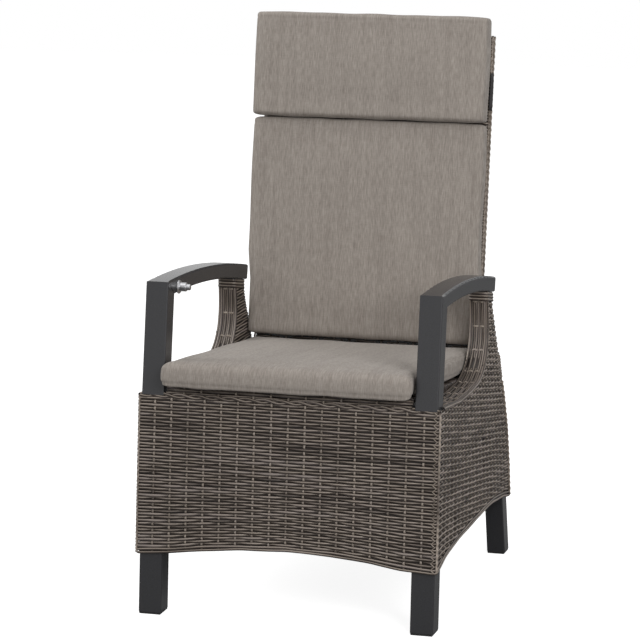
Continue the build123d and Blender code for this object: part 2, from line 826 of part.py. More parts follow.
def back_weave():
    """Woven sleeve over the frame of the backrest, open at its lower end."""
    outer = block((-back_half, back_half), (-back_skin, back_skin), (back_weave_low, back_height))
    outer = fillet(outer.edges().filter_by(Axis.Z), back_skin / 2)
    inner = block((-stile_outer - back_fit / 6, stile_outer + back_fit / 6),
                  (-stile_depth / 2 - back_fit / 6, stile_depth / 2 + back_fit / 6),
                  (0, back_height - back_weave_thick + back_fit / 6))
    return back_place * (outer - inner)


def cushion_strap():
    """Elastic band behind the back panel that holds the cushion on."""
    high = strap_low + strap_height
    reach = back_half + touch_gap
    back = back_skin + touch_gap
    front = -back_skin - touch_gap
    outside = reach + strap_thick
    outer = block((-outside, outside), (front, back + strap_thick), (strap_low, high))
    inner = block((-reach, reach), (2 * front, back), (0, 2 * high))
    return back_place * (outer - inner)


lever_z = pivot_z - lever_radius


def lever_bracket():
    """Foot plate under the lower back rail with two slotted arms for the gas spring's pin."""
    foot = block((-lever_base_half, lever_base_half), (-stile_depth / 2, stile_depth / 2),
                 (back_weave_low, back_weave_low + lever_thick))
    foot = back_place * foot
    top_z = pivot_z + (back_weave_low + lever_thick / 2) * cos(back_lean)
    top_y = pivot_y + back_weave_low * sin(back_lean)
    tip_z = lever_z - lever_width / 2
    corners = [(pivot_y - lever_width / 2, tip_z), (pivot_y + lever_width / 2, tip_z),
               (pivot_y + lever_width / 2, pivot_z - lever_width / 2), (top_y + lever_head_width / 2, top_z),
               (top_y - lever_head_width / 2, top_z), (pivot_y - lever_width / 2, pivot_z - lever_width / 2)]
    arm = side_prism(outline(corners), lever_inner, lever_inner + lever_thick)
    slot = Pos(0, pivot_y, lever_z) * Rot(0, 90, 0) * extrude(
        SlotCenterToCenter(2 * slot_play, spring_pin + 4 * running_clearance + 2 * touch_gap),
        amount=2 * stile_outer, both=True)
    arm -= slot
    return foot + arm + other_side(arm)


def bushes():
    """Plastic flanged bushes in the lower ends of the two stiles."""
    inner = stile_outer - stile_width
    sleeve = rod(inner, stile_outer, 0, 0, bush_diameter)
    flange = rod(stile_outer, stile_outer + bush_flange_thick, 0, 0, bush_flange)
    bore = rod(0, 2 * stile_outer, 0, 0, bolt_diameter + 2 * running_clearance)
    return both(back_place * (sleeve + flange - bore))


bracket_face = stanchion_inner - bracket_thick
boss_face = stile_outer + bush_flange_thick + touch_gap
washer_face = stile_outer - stile_width - touch_gap


def hinge_bracket():
    """Plate on the inner face of the stanchion, with a boss that the pivot bolt screws into."""
    plate = block((bracket_face, stanchion_inner), (bracket_front, bracket_back),
                  (bracket_low, bracket_high))
    plate = fillet(plate.edges().filter_by(Axis.X), 2 * tube_corner)
    boss = rod(boss_face, bracket_face, pivot_y, pivot_z, boss_diameter)
    hole = rod(0, 2 * stile_outer, pivot_y, pivot_z, bolt_diameter + running_clearance)
    return plate + boss - hole


def pivot_bolts():
    shank = rod(washer_face - washer_thick, stanchion_inner, pivot_y, pivot_z, bolt_diameter)
    head_end = washer_face - washer_thick
    head = rod(head_end - bolt_head_height, head_end, pivot_y, pivot_z, bolt_head)
    head = chamfer(head.edges().sort_by(Axis.X)[0], bolt_head_height / 6)
    socket_reach = bolt_head_height / 2
    socket = Pos(head_end - bolt_head_height + socket_reach / 2, pivot_y, pivot_z) * Rot(0, 90, 0)
    socket *= extrude(RegularPolygon(bolt_head / 4, 6), amount=socket_reach / 2, both=True)
    return both(shank + head - socket)


def pivot_washers():
    ring = rod(washer_face - washer_thick, washer_face, pivot_y, pivot_z, washer_diameter)
    ring -= rod(0, 2 * stile_outer, pivot_y, pivot_z, bolt_diameter + 2 * running_clearance)
    return both(ring)


release_lever_x = release_lug_half + 2 * running_clearance
lever_cable_x = release_lever_x + release_lever_thick / 2
cable_y = front_stretcher_y + front_stretcher_size + lever_head_width / 2
cable_shelf_z = spring_z + 2 * release_head_height


def spring_clevis():
    """Bracket on the front stretcher that carries the front end of the gas spring."""
    face = front_stretcher_y + front_stretcher_size
    half_height = release_head_height / 2
    z = (spring_z - half_height, spring_z + half_height)
    outer = clevis_inner + clevis_thick
    base = block((-outer, outer), (face, face + clevis_base),
                 (front_stretcher_low, front_stretcher_low + front_stretcher_size))
    ear = block((clevis_inner, outer), (face, spring_front_y + half_height), z)
    ear = fillet(ear.edges().filter_by(Axis.X).sort_by(Axis.Y)[-2:], half_height / 2)
    bracket = base + ear + other_side(ear)
    hole = rod(-2 * outer, 2 * outer, spring_front_y, spring_z, spring_pin + running_clearance)
    tab = block((-outer, -clevis_inner), (face, face + lever_head_width), (spring_z, cable_shelf_z))
    shelf = block((-outer, outer), (face, face + lever_head_width),
                  (cable_shelf_z, cable_shelf_z + clevis_thick))
    cable_hole = Cylinder(cable_stop_diameter / 2, 4 * clevis_thick)
    cable_hole = Pos(lever_cable_x, cable_y, cable_shelf_z) * cable_hole
    return bracket + tab + shelf - hole - cable_hole


def cable_stop():
    """Threaded cable stop on the clevis, where the release cable's sheath would end."""
    body = extrude(Circle(cable_stop_diameter / 2 - running_clearance), amount=2 * cable_stop_diameter)
    nut = extrude(RegularPolygon(0.8 * cable_stop_diameter, 6), amount=clevis_thick)
    bore = Cylinder(cable_bore / 2, 8 * cable_stop_diameter)
    stop = body + Pos(0, 0, clevis_thick) * nut - bore
    return Pos(lever_cable_x, cable_y, cable_shelf_z) * stop


def clevis_pin():
    outer = clevis_inner + clevis_thick
    pin = rod(-outer - clevis_thick / 2, outer + touch_gap, spring_front_y, spring_z, spring_pin)
    head = rod(outer + touch_gap / 6, outer + clevis_thick / 2, spring_front_y, spring_z, 1.5 * spring_pin)
    return pin + head


def release_head():
    """Head screwed on the rod: an eye for the clevis pin and a lug for the release lever."""
    half = eye_half_width + 2 * touch_gap
    half_height = 0.9 * release_head_height / 2
    body = block((-half, half), (release_head_front, release_head_back),
                 (spring_z - half_height, spring_z + half_height))
    body = fillet(body.edges().filter_by(Axis.X), half_height / 3)
    lug = block((-release_lug_half, release_lug_half), (release_pivot_y - half, release_head_back),
                (spring_z, spring_z + release_pivot_up + release_pin))
    head = body + lug
    head -= rod(-2 * half, 2 * half, spring_front_y, spring_z, spring_pin + 2 * running_clearance)
    pin_z = spring_z + release_pivot_up
    return head - rod(-2 * half, 2 * half, release_pivot_y, pin_z, release_pin)


def release_pivot():
    """Pin in the lug that the release lever turns on."""
    z = spring_z + release_pivot_up
    end = release_lever_x + release_lever_thick
    pin = rod(-release_lug_half, end + touch_gap, release_pivot_y, z, release_pin)
    cap = rod(end + touch_gap, end + touch_gap + clevis_thick / 4, release_pivot_y, z, 1.6 * release_pin)
    return pin + cap


def release_lever():
    z = spring_z + release_pivot_up
    half = release_pin
    corners = [(release_pivot_y - half, z - half), (release_pivot_y + half, z - half),
               (release_pivot_y + half, z + half), (release_pivot_y - half, z + half),
               (release_pivot_y - release_lever_reach, z + 2 * half),
               (release_pivot_y - release_lever_reach, z)]
    plate = side_prism(outline(corners), release_lever_x, release_lever_x + release_lever_thick)
    hole = Pos(lever_cable_x, cable_y + half, z) * Cylinder(cable_bore / 2, 8 * half)
    bore = rod(0, 4 * release_lever_x + 8 * half, release_pivot_y, z, release_pin + 2 * running_clearance)
    return plate - bore - hole


barrel_bore = 0.86 * barrel_diameter


def gas_rod():
    piston_y = barrel_front + barrel_length * piston_share
    shaft = bar(release_head_back, piston_y, 0, spring_z, rod_diameter)
    piston = bar(piston_y - piston_length, piston_y, 0, spring_z, barrel_bore - 2 * running_clearance)
    return shaft + piston


def gas_cylinder():
    shell = bar(barrel_front, barrel_front + barrel_length, 0, spring_z, barrel_diameter)
    end = barrel_front + barrel_length
    shell = fillet(shell.edges().sort_by(Axis.Y)[-1], tube_corner)
    bore = bar(barrel_front - cut_over, end - 2 * tube_corner, 0, spring_z, barrel_bore)
    return shell - bore


def gland():
    """Guide and seal pressed in the mouth of the barrel."""
    collar = bar(barrel_front, barrel_front + piston_length, 0, spring_z, barrel_bore)
    return collar - bar(0, 2 * barrel_front, 0, spring_z, rod_diameter + 2 * running_clearance)


def extension_link():
    """Link screwed on the closed end of the barrel, with an eye at the backrest's lever."""
    start = barrel_front + barrel_length
    link = bar(start, pivot_y - eye_diameter / 3, 0, spring_z, extension_diameter)
    eye = rod(-eye_half_width, eye_half_width, pivot_y, spring_z, eye_diameter)
    return link + eye - rod(-2 * eye_half_width, 2 * eye_half_width, pivot_y, spring_z, spring_pin)


def lever_pin():
    """Pin pressed in the eye; it slides in the slots of the lever."""
    end = lever_inner + lever_thick + 2 * touch_gap
    pin = rod(-end, end, pivot_y, spring_z, spring_pin)
    clip = rod(end, end + clevis_thick / 2, pivot_y, spring_z, 1.7 * spring_pin)
    return pin + clip + other_side(clip)


button_x = (button_y - arm_corner_y) * tan(arm_yaw) + touch_gap - post_inner
button_inside = 0.88 * button_barrel


def turned(x_near, x_far, diameter):
    """Round piece on the button's axis, measured from the armrest's inner face towards +X."""
    return rod(button_x + x_near, button_x + x_far, button_y, button_z, diameter)


def button_housing():
    flange = turned(0, button_flange_thick, button_flange)
    flange = chamfer(flange.edges().sort_by(Axis.X)[-1], button_flange_thick / 2)
    barrel = turned(0, button_flange_thick + button_barrel_length, button_barrel)
    barrel = chamfer(barrel.edges().sort_by(Axis.X)[-1], button_flange_thick / 4)
    inside = turned(-button_depth, 0, button_inside)
    mouth = turned(0, 2 * button_barrel_length, button_diameter + 2 * running_clearance)
    well_end = button_flange_thick + button_barrel_length - button_collar_thick
    well = turned(button_collar_thick - button_depth, well_end, button_collar + 2 * running_clearance)
    cable = turned(-2 * button_depth, 0, cable_bore)
    return flange + barrel + inside - well - mouth - cable


spring_pitch = 1.5 * spring_wire
spring_seat = button_collar_thick - button_depth + spring_wire
spring_end = spring_seat + spring_turns * spring_pitch + spring_wire


def release_button():
    face = button_flange_thick + button_barrel_length
    stem_start = spring_end + button_travel + touch_gap
    stem = turned(stem_start, face + button_out, button_diameter)
    stem = fillet(stem.edges().sort_by(Axis.X)[-1], button_collar_thick / 2)
    collar = turned(face - 2 * button_collar_thick - touch_gap, face - button_collar_thick - touch_gap,
                    button_collar)
    return stem + collar


def button_spring():
    """Return spring in the housing's well, as short as the pressed button leaves it."""
    radius = (button_collar - 4 * spring_wire) / 2
    path = Helix(spring_pitch, spring_turns * spring_pitch, radius)
    start = Plane(origin=path @ 0, z_dir=path % 0)
    coil = sweep(start * Circle(spring_wire / 2), path=path)
    return Pos(button_x + spring_seat, button_y, button_z) * Rot(0, 90, 0) * coil


def drilled_armrest():
    """Right armrest, with the hole that the release button's housing passes through."""
    arm = other_side(armrest())
    return arm - turned(-2 * arm_wall, 2 * arm_wall, button_inside + touch_gap)


save_pair("front_leg", front_leg())
save_pair("rear_leg", rear_leg())
save("foot_glides", *foot_glides())
save_pair("arm_post", arm_post())
save("left_armrest", armrest())
save("right_armrest", drilled_armrest())
save("arm_plates", *both(arm_plate()))
save_pair("stanchion", stanchion())
save_pair("side_rail", side_rail())
save("front_rail", front_rail())
save("seat_rear_rail", seat_rear_rail())
save("seat_bearers", *both(seat_bearer()))
save("front_stretcher", front_stretcher())
save("rear_stretcher", rear_stretcher())
save("front_hoop", front_hoop())
save_pair("side_hoop", side_hoop())
save("rear_hoop", rear_hoop())
save("front_skirt_weave", front_skirt_weave())
save_pair("side_weave", side_weave())
save("rear_skirt_weave", rear_skirt_weave())
save("seat_deck", seat_deck())
save("seat_cushion", seat_cushion())
save("hinge_brackets", *both(hinge_bracket()))
save("pivot_bolts", *pivot_bolts())
save("pivot_washers", *pivot_washers())
save("spring_clevis", spring_clevis())
save("clevis_pin", clevis_pin())
save("cable_stop", cable_stop())
save("button_housing", button_housing())
save("button_spring", button_spring())
save("release_button", release_button())
save("release_head", release_head())
save("release_pivot", release_pivot())
save("release_lever", release_lever())
save("gas_rod", gas_rod())
save("gas_cylinder", gas_cylinder())
save("gas_spring_gland", gland())
save("extension_link", extension_link())
save("lever_pin", lever_pin())
save_pair("back_stile", stile())
save("top_back_rail", back_rail(back_height - back_weave_thick - back_rail_height))
save("middle_back_rails", *[back_rail(back_height * share) for share in middle_rail_shares])
save("lower_back_rail", back_rail(back_weave_low + lever_thick))
save("lever_bracket", lever_bracket())
save("pivot_bushes", *bushes())
save("back_weave", back_weave())
save("back_cushion", back_pad(back_cushion_low, back_cushion_high, back_cushion_thick))
save("head_cushion", back_pad(back_cushion_high + 4 * touch_gap, head_cushion_high, head_cushion_thick))
save("cushion_strap", cushion_strap())
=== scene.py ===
"""Looks of a reclining wicker dining armchair, built over its CAD frame.

Lengths are in metres. The tables of points are in millimetres, measured from the front edge of
the seat cushion, the chair's middle plane and the floor.
"""

import math

import bpy
import numpy as np
from bpy.props import FloatProperty, FloatVectorProperty, IntProperty, PointerProperty
from mathutils import Matrix, Vector


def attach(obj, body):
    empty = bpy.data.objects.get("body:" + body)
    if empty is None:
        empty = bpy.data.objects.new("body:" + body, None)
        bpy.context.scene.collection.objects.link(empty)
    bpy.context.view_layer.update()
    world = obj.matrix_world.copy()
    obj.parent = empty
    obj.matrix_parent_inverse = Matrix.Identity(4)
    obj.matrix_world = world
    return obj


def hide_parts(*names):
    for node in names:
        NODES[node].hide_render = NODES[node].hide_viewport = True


bl_info = {
    "name": "Wicker Dining Armchair",
    "version": (1, 0, 0),
    "blender": (4, 5, 0),
    "location": "3D View > Sidebar > Armchair",
    "description": "Woven, padded and painted surfaces of a reclining garden dining armchair",
    "category": "Object",
}

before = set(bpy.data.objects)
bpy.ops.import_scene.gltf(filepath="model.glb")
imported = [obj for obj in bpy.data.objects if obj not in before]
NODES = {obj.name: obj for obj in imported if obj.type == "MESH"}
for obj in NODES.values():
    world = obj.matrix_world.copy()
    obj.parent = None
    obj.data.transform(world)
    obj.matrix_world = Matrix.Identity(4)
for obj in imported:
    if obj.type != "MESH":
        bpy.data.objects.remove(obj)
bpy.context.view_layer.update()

# Places that the weave follows, in millimetres
HALF_DEPTH = 362.65
FRONT_LEAN = math.radians(5)
WEAVE_THICK = 7
SIDE_FRONT_X = 303
SKIRT_LOW = 119
SKIRT_ARCH = 25
SKIRT_TOP = 431
REAR_SKIRT_TOP = 376
PILLAR_INNER = 245.5
PILLAR_LOW = 428
ARCH_FALL = 170

# Shares of a face's length, and of the arch's rise there
FRONT_ARCH = ((0, 0.12, 0.22, 0.35, 0.5, 0.65, 0.78, 0.88, 1),
              (0, 0.2, 0.56, 0.86, 1, 0.86, 0.56, 0.2, 0))
SIDE_ARCH = ((0, 0.11, 0.27, 0.45, 0.62, 0.76, 0.9, 1), (0.08, 0.68, 0.97, 1, 0.98, 0.85, 0.4, -0.1))

# Side view: (y, z) along the rear edge, the rim, the pillar's front and its top
BACK_EDGE = ((667, 116), (668, 190), (660, 275), (640, 340), (619, 392), (603, 440), (578, 492),
             (559, 531), (546, 569), (541, 584))
RIM_TOP = ((30, 436), (62, 436), (126, 429), (212, 418), (309, 415.5), (390, 418), (432, 430))
RIM_PILLAR = ((432, 430), (464, 450), (484, 480), (490, 515), (488, 548), (482, 582))
PILLAR_TOP = ((482, 582), (546, 569))

# The seat's and the back's own places: origin, and angle about X
SEAT = ((0, 33, 453.5), math.radians(-5.8))
BACK = ((0, 598, 402), math.radians(-9.65))
# depth of the dark sheets of painted shade behind the strands
SHADE_SHEET_DEPTH = 6.2

# Spokes across the front or the rear, half of them, along a side, and all round
FACE_STEPS = 18
HALF_FACE = FACE_STEPS / 2
SIDE_STEPS = 20
AROUND = 2 * FACE_STEPS + 2 * SIDE_STEPS
CORNER_SPOKES = (-29, -9, 9, 29, 47, 67)

# Strands other than the rows: spokes, border strands, and how far apart the border's cross strands are
SPOKE_THICK = 1.8
BORDER_THICK = 2.8
CROSS_EVERY = 50


# ---------------------------------------------------------------- sizes and colours

def length(name, metres, description):
    """Property for a length."""
    return FloatProperty(name=name, description=description, default=metres, unit="LENGTH")


def linear(hex_value):
    """sRGB hex to a linear colour with full alpha."""
    parts = [int(hex_value[i:i + 2], 16) / 255 for i in (0, 2, 4)]
    return tuple(c / 12.92 if c <= 0.04045 else ((c + 0.055) / 1.055) ** 2.4 for c in parts) + (1,)


def tone(name, hex_value, description):
    """Property for a colour."""
    return FloatVectorProperty(name=name, description=description, subtype="COLOR", size=4,
                               default=linear(hex_value))


class ArmchairSizes(bpy.types.PropertyGroup):
    """Sizes of the woven surfaces"""

    strand_pitch: length("Strand pitch", 0.0063, "Distance from one woven row to the next")
    strand_width: length("Strand width", 0.0053, "Width of the flat synthetic strands")
    strand_thick: length("Strand thickness", 0.003, "Thickness of the flat strands")
    weave_wave: length("Weave wave", 0.0026, "How far a strand swings over and under")
    side_wave: length("Side wave", 0.0036, "The same on the sides, whose spokes are thicker")
    spoke_width: length("Spoke width", 0.0044, "Width of the upright strands")
    border_width: length("Border width", 0.0062, "Width of the strands along the edges")
    samples: IntProperty(name="Samples", description="Points on a strand from one spoke to the next",
                         default=6, min=3, max=12)


class ArmchairColours(bpy.types.PropertyGroup):
    """Colours of the finishes"""

    frame_paint: tone("Frame", "303033", "Powder coat of the tubes")
    strand_mid: tone("Strand", "4b413a", "Main colour of the strands")
    # painted highlight along each strand's crown, and also the paler end of the real streaks
    strand_light_and_highlight: tone("Strand streak", "9f9387", "Light line along each strand")
    # painted shade on the strands' flanks, and also the darker end of the real streaks
    strand_dark_and_shade: tone("Strand shade", "1c1613", "Dark flanks of the strands")
    strand_violet: tone("Strand tint", "4f4a57", "Lengths that lean to violet")
    cloth: tone("Cloth", "968e86", "Outdoor cloth of the cushions")
    cloth_dark: tone("Dark slub", "847b74", "Darker yarns in the cloth")
    cloth_light: tone("Light slub", "a79e96", "Paler yarns in the cloth")
    strap: tone("Strap", "242122", "Elastic webbing of the head cushion")


# ---------------------------------------------------------------- small tools

def add(tree, kind, inputs=None, stops=None, **settings):
    """Adds a shader node, sets its settings, and fills its inputs and its ramp's stops with values or
    links. A node given as an input stands for its first output."""
    made = tree.nodes.new(kind)
    for name, value in settings.items():
        setattr(made, name, value)
    for key, value in (inputs or {}).items():
        if isinstance(value, bpy.types.Node):
            value = value.outputs[0]
        if isinstance(value, bpy.types.NodeSocket):
            tree.links.new(value, made.inputs[key])
        else:
            made.inputs[key].default_value = value
    if stops:
        elements = made.color_ramp.elements
        while len(elements) < len(stops):
            elements.new(0.5)
        for element, (place, colour) in zip(elements, stops):
            element.position, element.color = place, colour
    return made


def new_material(name):
    """Material with an empty node tree, and its tree."""
    material = bpy.data.materials.new(name)
    material.use_nodes = True
    material.node_tree.nodes.clear()
    return material, material.node_tree


def in_frame(points):
    """Millimetres from the cushion's front edge to metres in the part's frame."""
    points = np.asarray(points, float).copy()
    points[..., 1] -= HALF_DEPTH
    return points / 1000


def unit(vectors):
    return vectors / np.maximum(np.linalg.norm(vectors, axis=-1, keepdims=True), 1e-12)


def tilted(points, origin, angle):
    """Points of a seat or back panel, leant about X at its origin, in millimetres."""
    points = np.asarray(points, float)
    c, s = math.cos(angle), math.sin(angle)
    out = points.copy()
    out[..., 1] = points[..., 1] * c - points[..., 2] * s
    out[..., 2] = points[..., 1] * s + points[..., 2] * c
    return out + np.array(origin, float)


def leant(ways, place):
    """Directions on a seat or back panel, leant with it."""
    return tilted(ways, (0, 0, 0), place[1])


def points_at(x, y, z):
    """Points from coordinates, of which at least one is an array."""
    return np.stack(np.broadcast_arrays(x, y, z), -1).astype(float)


def walked(points):
    """Way along a path up to each of its points."""
    return np.concatenate([[0], np.cumsum(np.linalg.norm(np.diff(points, axis=0), axis=1))])


def mesh_object(name, verts, faces, uvs=None, material=None):
    """Object from arrays: points in metres, quads, and one UV pair per face corner."""
    mesh = bpy.data.meshes.new(name)
    faces = np.asarray(faces, np.int32)
    mesh.vertices.add(len(verts))
    mesh.vertices.foreach_set("co", np.asarray(verts, np.float32).ravel())
    mesh.loops.add(faces.size)
    mesh.loops.foreach_set("vertex_index", faces.ravel())
    mesh.polygons.add(len(faces))
    mesh.polygons.foreach_set("loop_start", np.arange(len(faces), dtype=np.int32) * 4)
    mesh.polygons.foreach_set("loop_total", np.full(len(faces), 4, np.int32))
    mesh.update(calc_edges=True)
    if uvs is not None:
        layer = mesh.uv_layers.new(name="UVMap")
        layer.data.foreach_set("uv", np.asarray(uvs, np.float32).ravel())
    mesh.polygons.foreach_set("use_smooth", np.ones(len(faces), bool))
    mesh.validate()
    made = bpy.data.objects.new(name, mesh)
    bpy.context.scene.collection.objects.link(made)
    if material:
        mesh.materials.append(material)
    return made


# Section of a half-round strand: places across its width and its thickness, as shares of their halves
SECTION = np.array([(-1, -0.1), (-0.72, 0.66), (0, 1), (0.72, 0.66),
                    (1, -0.1), (0.7, -0.8), (0, -1), (-0.7, -0.8)])


class Strands:
    """Collects strands, each a flattened tube along a path, and makes one object of them."""

    def __init__(self):
        self.verts, self.faces, self.uvs = [], [], []
        self.count = self.number = 0

    def add(self, path, outward, width, thick, closed=False, pale=False):
        """path, width and thick are in millimetres, and outward is the way its crown faces. With the flag
        for a paler strand, it is as light all round as the others are along their crowns: partly a paler
        strand, partly their painted crown highlight carried all round."""
        path, outward = np.asarray(path, float), np.asarray(outward, float)
        n, m = len(path), len(SECTION)
        if n < 2:
            return
        if closed:
            along = np.roll(path, -1, 0) - np.roll(path, 1, 0)
        else:
            along = np.gradient(path, axis=0)
        along = unit(along)
        outward = unit(outward - along * np.sum(outward * along, 1, keepdims=True))
        across = np.cross(outward, along)
        half_w = np.broadcast_to(np.asarray(width, float) / 2, (n,))[:, None, None]
        half_t = np.broadcast_to(np.asarray(thick, float) / 2, (n,))[:, None, None]
        ring = (path[:, None] + across[:, None] * SECTION[None, :, :1] * half_w
                + outward[:, None] * SECTION[None, :, 1:] * half_t)
        step = np.linalg.norm(np.diff(path, axis=0, append=path[:1]), axis=1)
        length = np.concatenate([[0], np.cumsum(step)]) / 1000
        rows = n if closed else n - 1
        i = np.arange(rows)[:, None]
        j = np.arange(m)[None, :]
        nxt, jn = (i + 1) % n, (j + 1) % m
        quads = np.stack([i * m + j, nxt * m + j, nxt * m + jn, i * m + jn], -1).reshape(-1, 4)
        shift = 3.17 * self.number
        u0 = np.broadcast_to(length[i] + shift, (rows, m))
        u1 = np.broadcast_to(length[i + 1] + shift, (rows, m))
        # a paler strand takes only the band of the section that holds the painted crown highlight; the
        # others run all round it, through painted highlight and painted flank shade
        first_v, span = (0.28, 0.06) if pale else (0, 1)
        v0 = np.broadcast_to(first_v + span * j / m, (rows, m)) + self.number
        v1 = v0 + span / m
        uv = np.stack([u0, v0, u1, v0, u1, v1, u0, v1], -1).reshape(-1, 4, 2)
        if not closed:
            tips = [[0, 7, 6, 1], [1, 6, 5, 2], [2, 5, 4, 3]]
            tips += [[(n - 1) * m + a for a in face[::-1]] for face in tips]
            quads = np.concatenate([quads, np.array(tips)])
            uv = np.concatenate([uv, np.full((len(tips), 4, 2), shift)])
        self.verts.append(ring.reshape(-1, 3))
        self.faces.append(quads + self.count)
        self.uvs.append(uv)
        self.count += n * m
        self.number += 1

    def line(self, rows, closed=False):
        """Adds the inner face of the weave, where no strand is seen apart, as a sheet over rows of
        points: a dark sheet of painted shade, which stands for the shadow behind the strands."""
        rows = np.asarray(rows, float)
        n, m = rows.shape[:2]
        i = np.arange(n - 1)[:, None] * m
        j = np.arange(m if closed else m - 1)[None, :]
        beside = (j + 1) % m
        quads = np.stack([i + j, i + beside, i + m + beside, i + m + j], -1).reshape(-1, 4)
        self.verts.append(rows.reshape(-1, 3))
        self.faces.append(quads + self.count)
        # every corner sits at 0.55 round the section, in the painted flank shade, so the whole sheet is
        # dark painted shade
        self.uvs.append(np.full((len(quads), 4, 2), 0.55))
        self.count += n * m

    def make(self, name, material):
        verts = in_frame(np.concatenate(self.verts))
        return mesh_object(name, verts, np.concatenate(self.faces), np.concatenate(self.uvs), material)


def runs(mask, shortest=3):
    """Index ranges of the unbroken stretches of a mask."""
    edges = np.flatnonzero(np.diff(np.concatenate([[False], mask, [False]]).astype(int)))
    return [(a, b) for a, b in zip(edges[::2], edges[1::2]) if b - a >= shortest]


# ---------------------------------------------------------------- shape of the woven base

def table(points, value, by=0):
    """Straight-line reading of a table of points, by its first or second column."""
    points = np.array(points, float)
    order = np.argsort(points[:, by])
    return np.interp(value, points[order, by], points[order, 1 - by])


def front_y(z):
    return z * math.tan(FRONT_LEAN) - WEAVE_THICK


def back_y(z):
    return table(BACK_EDGE, z, by=1)


def side_x(y, z):
    rear = 295.5 - 0.040393 * (z - 120)
    return SIDE_FRONT_X + (rear - SIDE_FRONT_X) * y / 667


def base_faces(place):
    """Splits the way round the base, counted in spokes: the front from -9 to 9, one side from 9 to 29,
    the rear from 29 to 47 and the other side from 47 to 67. Returns the spoke, how far along the two
    sides and the rear it lies, as shares, and whether it comes before the end of each face."""
    p = (place + HALF_FACE) % AROUND - HALF_FACE
    ends = np.cumsum((HALF_FACE, SIDE_STEPS, FACE_STEPS))
    right = np.clip((p - ends[0]) / SIDE_STEPS, 0, 1)
    rear = np.clip((p - ends[1]) / FACE_STEPS, 0, 1)
    left = np.clip((p - ends[2]) / SIDE_STEPS, 0, 1)
    return p, right, rear, left, [p < end for end in ends]


def base_skin(place, z):
    """Outer face of the woven base at a spoke and a height."""
    p, right, rear, left, which = base_faces(place)
    yf, yb = front_y(z), back_y(z)
    y_right, y_left = yf + right * (yb - yf), yb - left * (yb - yf)
    x_rear = side_x(yb, z) * (1 - 2 * rear)
    x = np.select(which, [side_x(yf, z) * p / HALF_FACE, side_x(y_right, z), x_rear], -side_x(y_left, z))
    y = np.select(which, [yf + 0 * p, y_right, yb + 0 * p], y_left)
    return points_at(x, y, z)


def base_arch(place):
    """Rise of the woven base's lower edge at a spoke, in millimetres."""
    p, right, rear, left, which = base_faces(place)
    front = np.interp((p + HALF_FACE) / FACE_STEPS, *FRONT_ARCH)
    right, left = (np.interp(share, *SIDE_ARCH) for share in (right, 1 - left))
    return SKIRT_ARCH * np.select(which, [front, right, np.interp(rear, *FRONT_ARCH)], left)


def row_height(level, place):
    """Height of a row at a spoke: low rows follow the arches, high ones are level."""
    fall = np.clip(1 - (level - SKIRT_LOW) / ARCH_FALL, 0, 1) ** 1.2
    return level + base_arch(place) * fall


def smooth(points, closed, times=1):
    """Rounds the corners of a path by averaging neighbours."""
    for _ in range(times):
        if closed:
            points = (np.roll(points, 1, 0) + points + np.roll(points, -1, 0)) / 3
        else:
            inner = (points[:-2] + points[1:-1] + points[2:]) / 3
            points = np.concatenate([points[:1], inner, points[-1:]])
    return points


def under_rim(y, z, margin=0):
    """Whether a point of the side panel lies below the rim and the armrest's plate."""
    low = (y <= RIM_PILLAR[0][0]) & (z <= table(RIM_TOP, y) - margin)
    front = table(RIM_PILLAR, np.maximum(z, RIM_PILLAR[0][1]), by=1)
    pillar = (y > RIM_PILLAR[0][0]) & (y >= front + margin) & (z <= table(PILLAR_TOP, y) - margin)
    return low | pillar


def rim_path(step=6):
    """Line of the rim from the armrest's post along the side and up the pillar."""
    points = np.array(RIM_TOP[1:] + RIM_PILLAR[1:], float)
    dense = [points[0]]
    for a, b in zip(points[:-1], points[1:]):
        count = max(1, round(np.linalg.norm(b - a) / step))
        dense += [a + (b - a) * i / count for i in range(1, count + 1)]
    return smooth(np.array(dense), False, 4)


# ---------------------------------------------------------------- materials

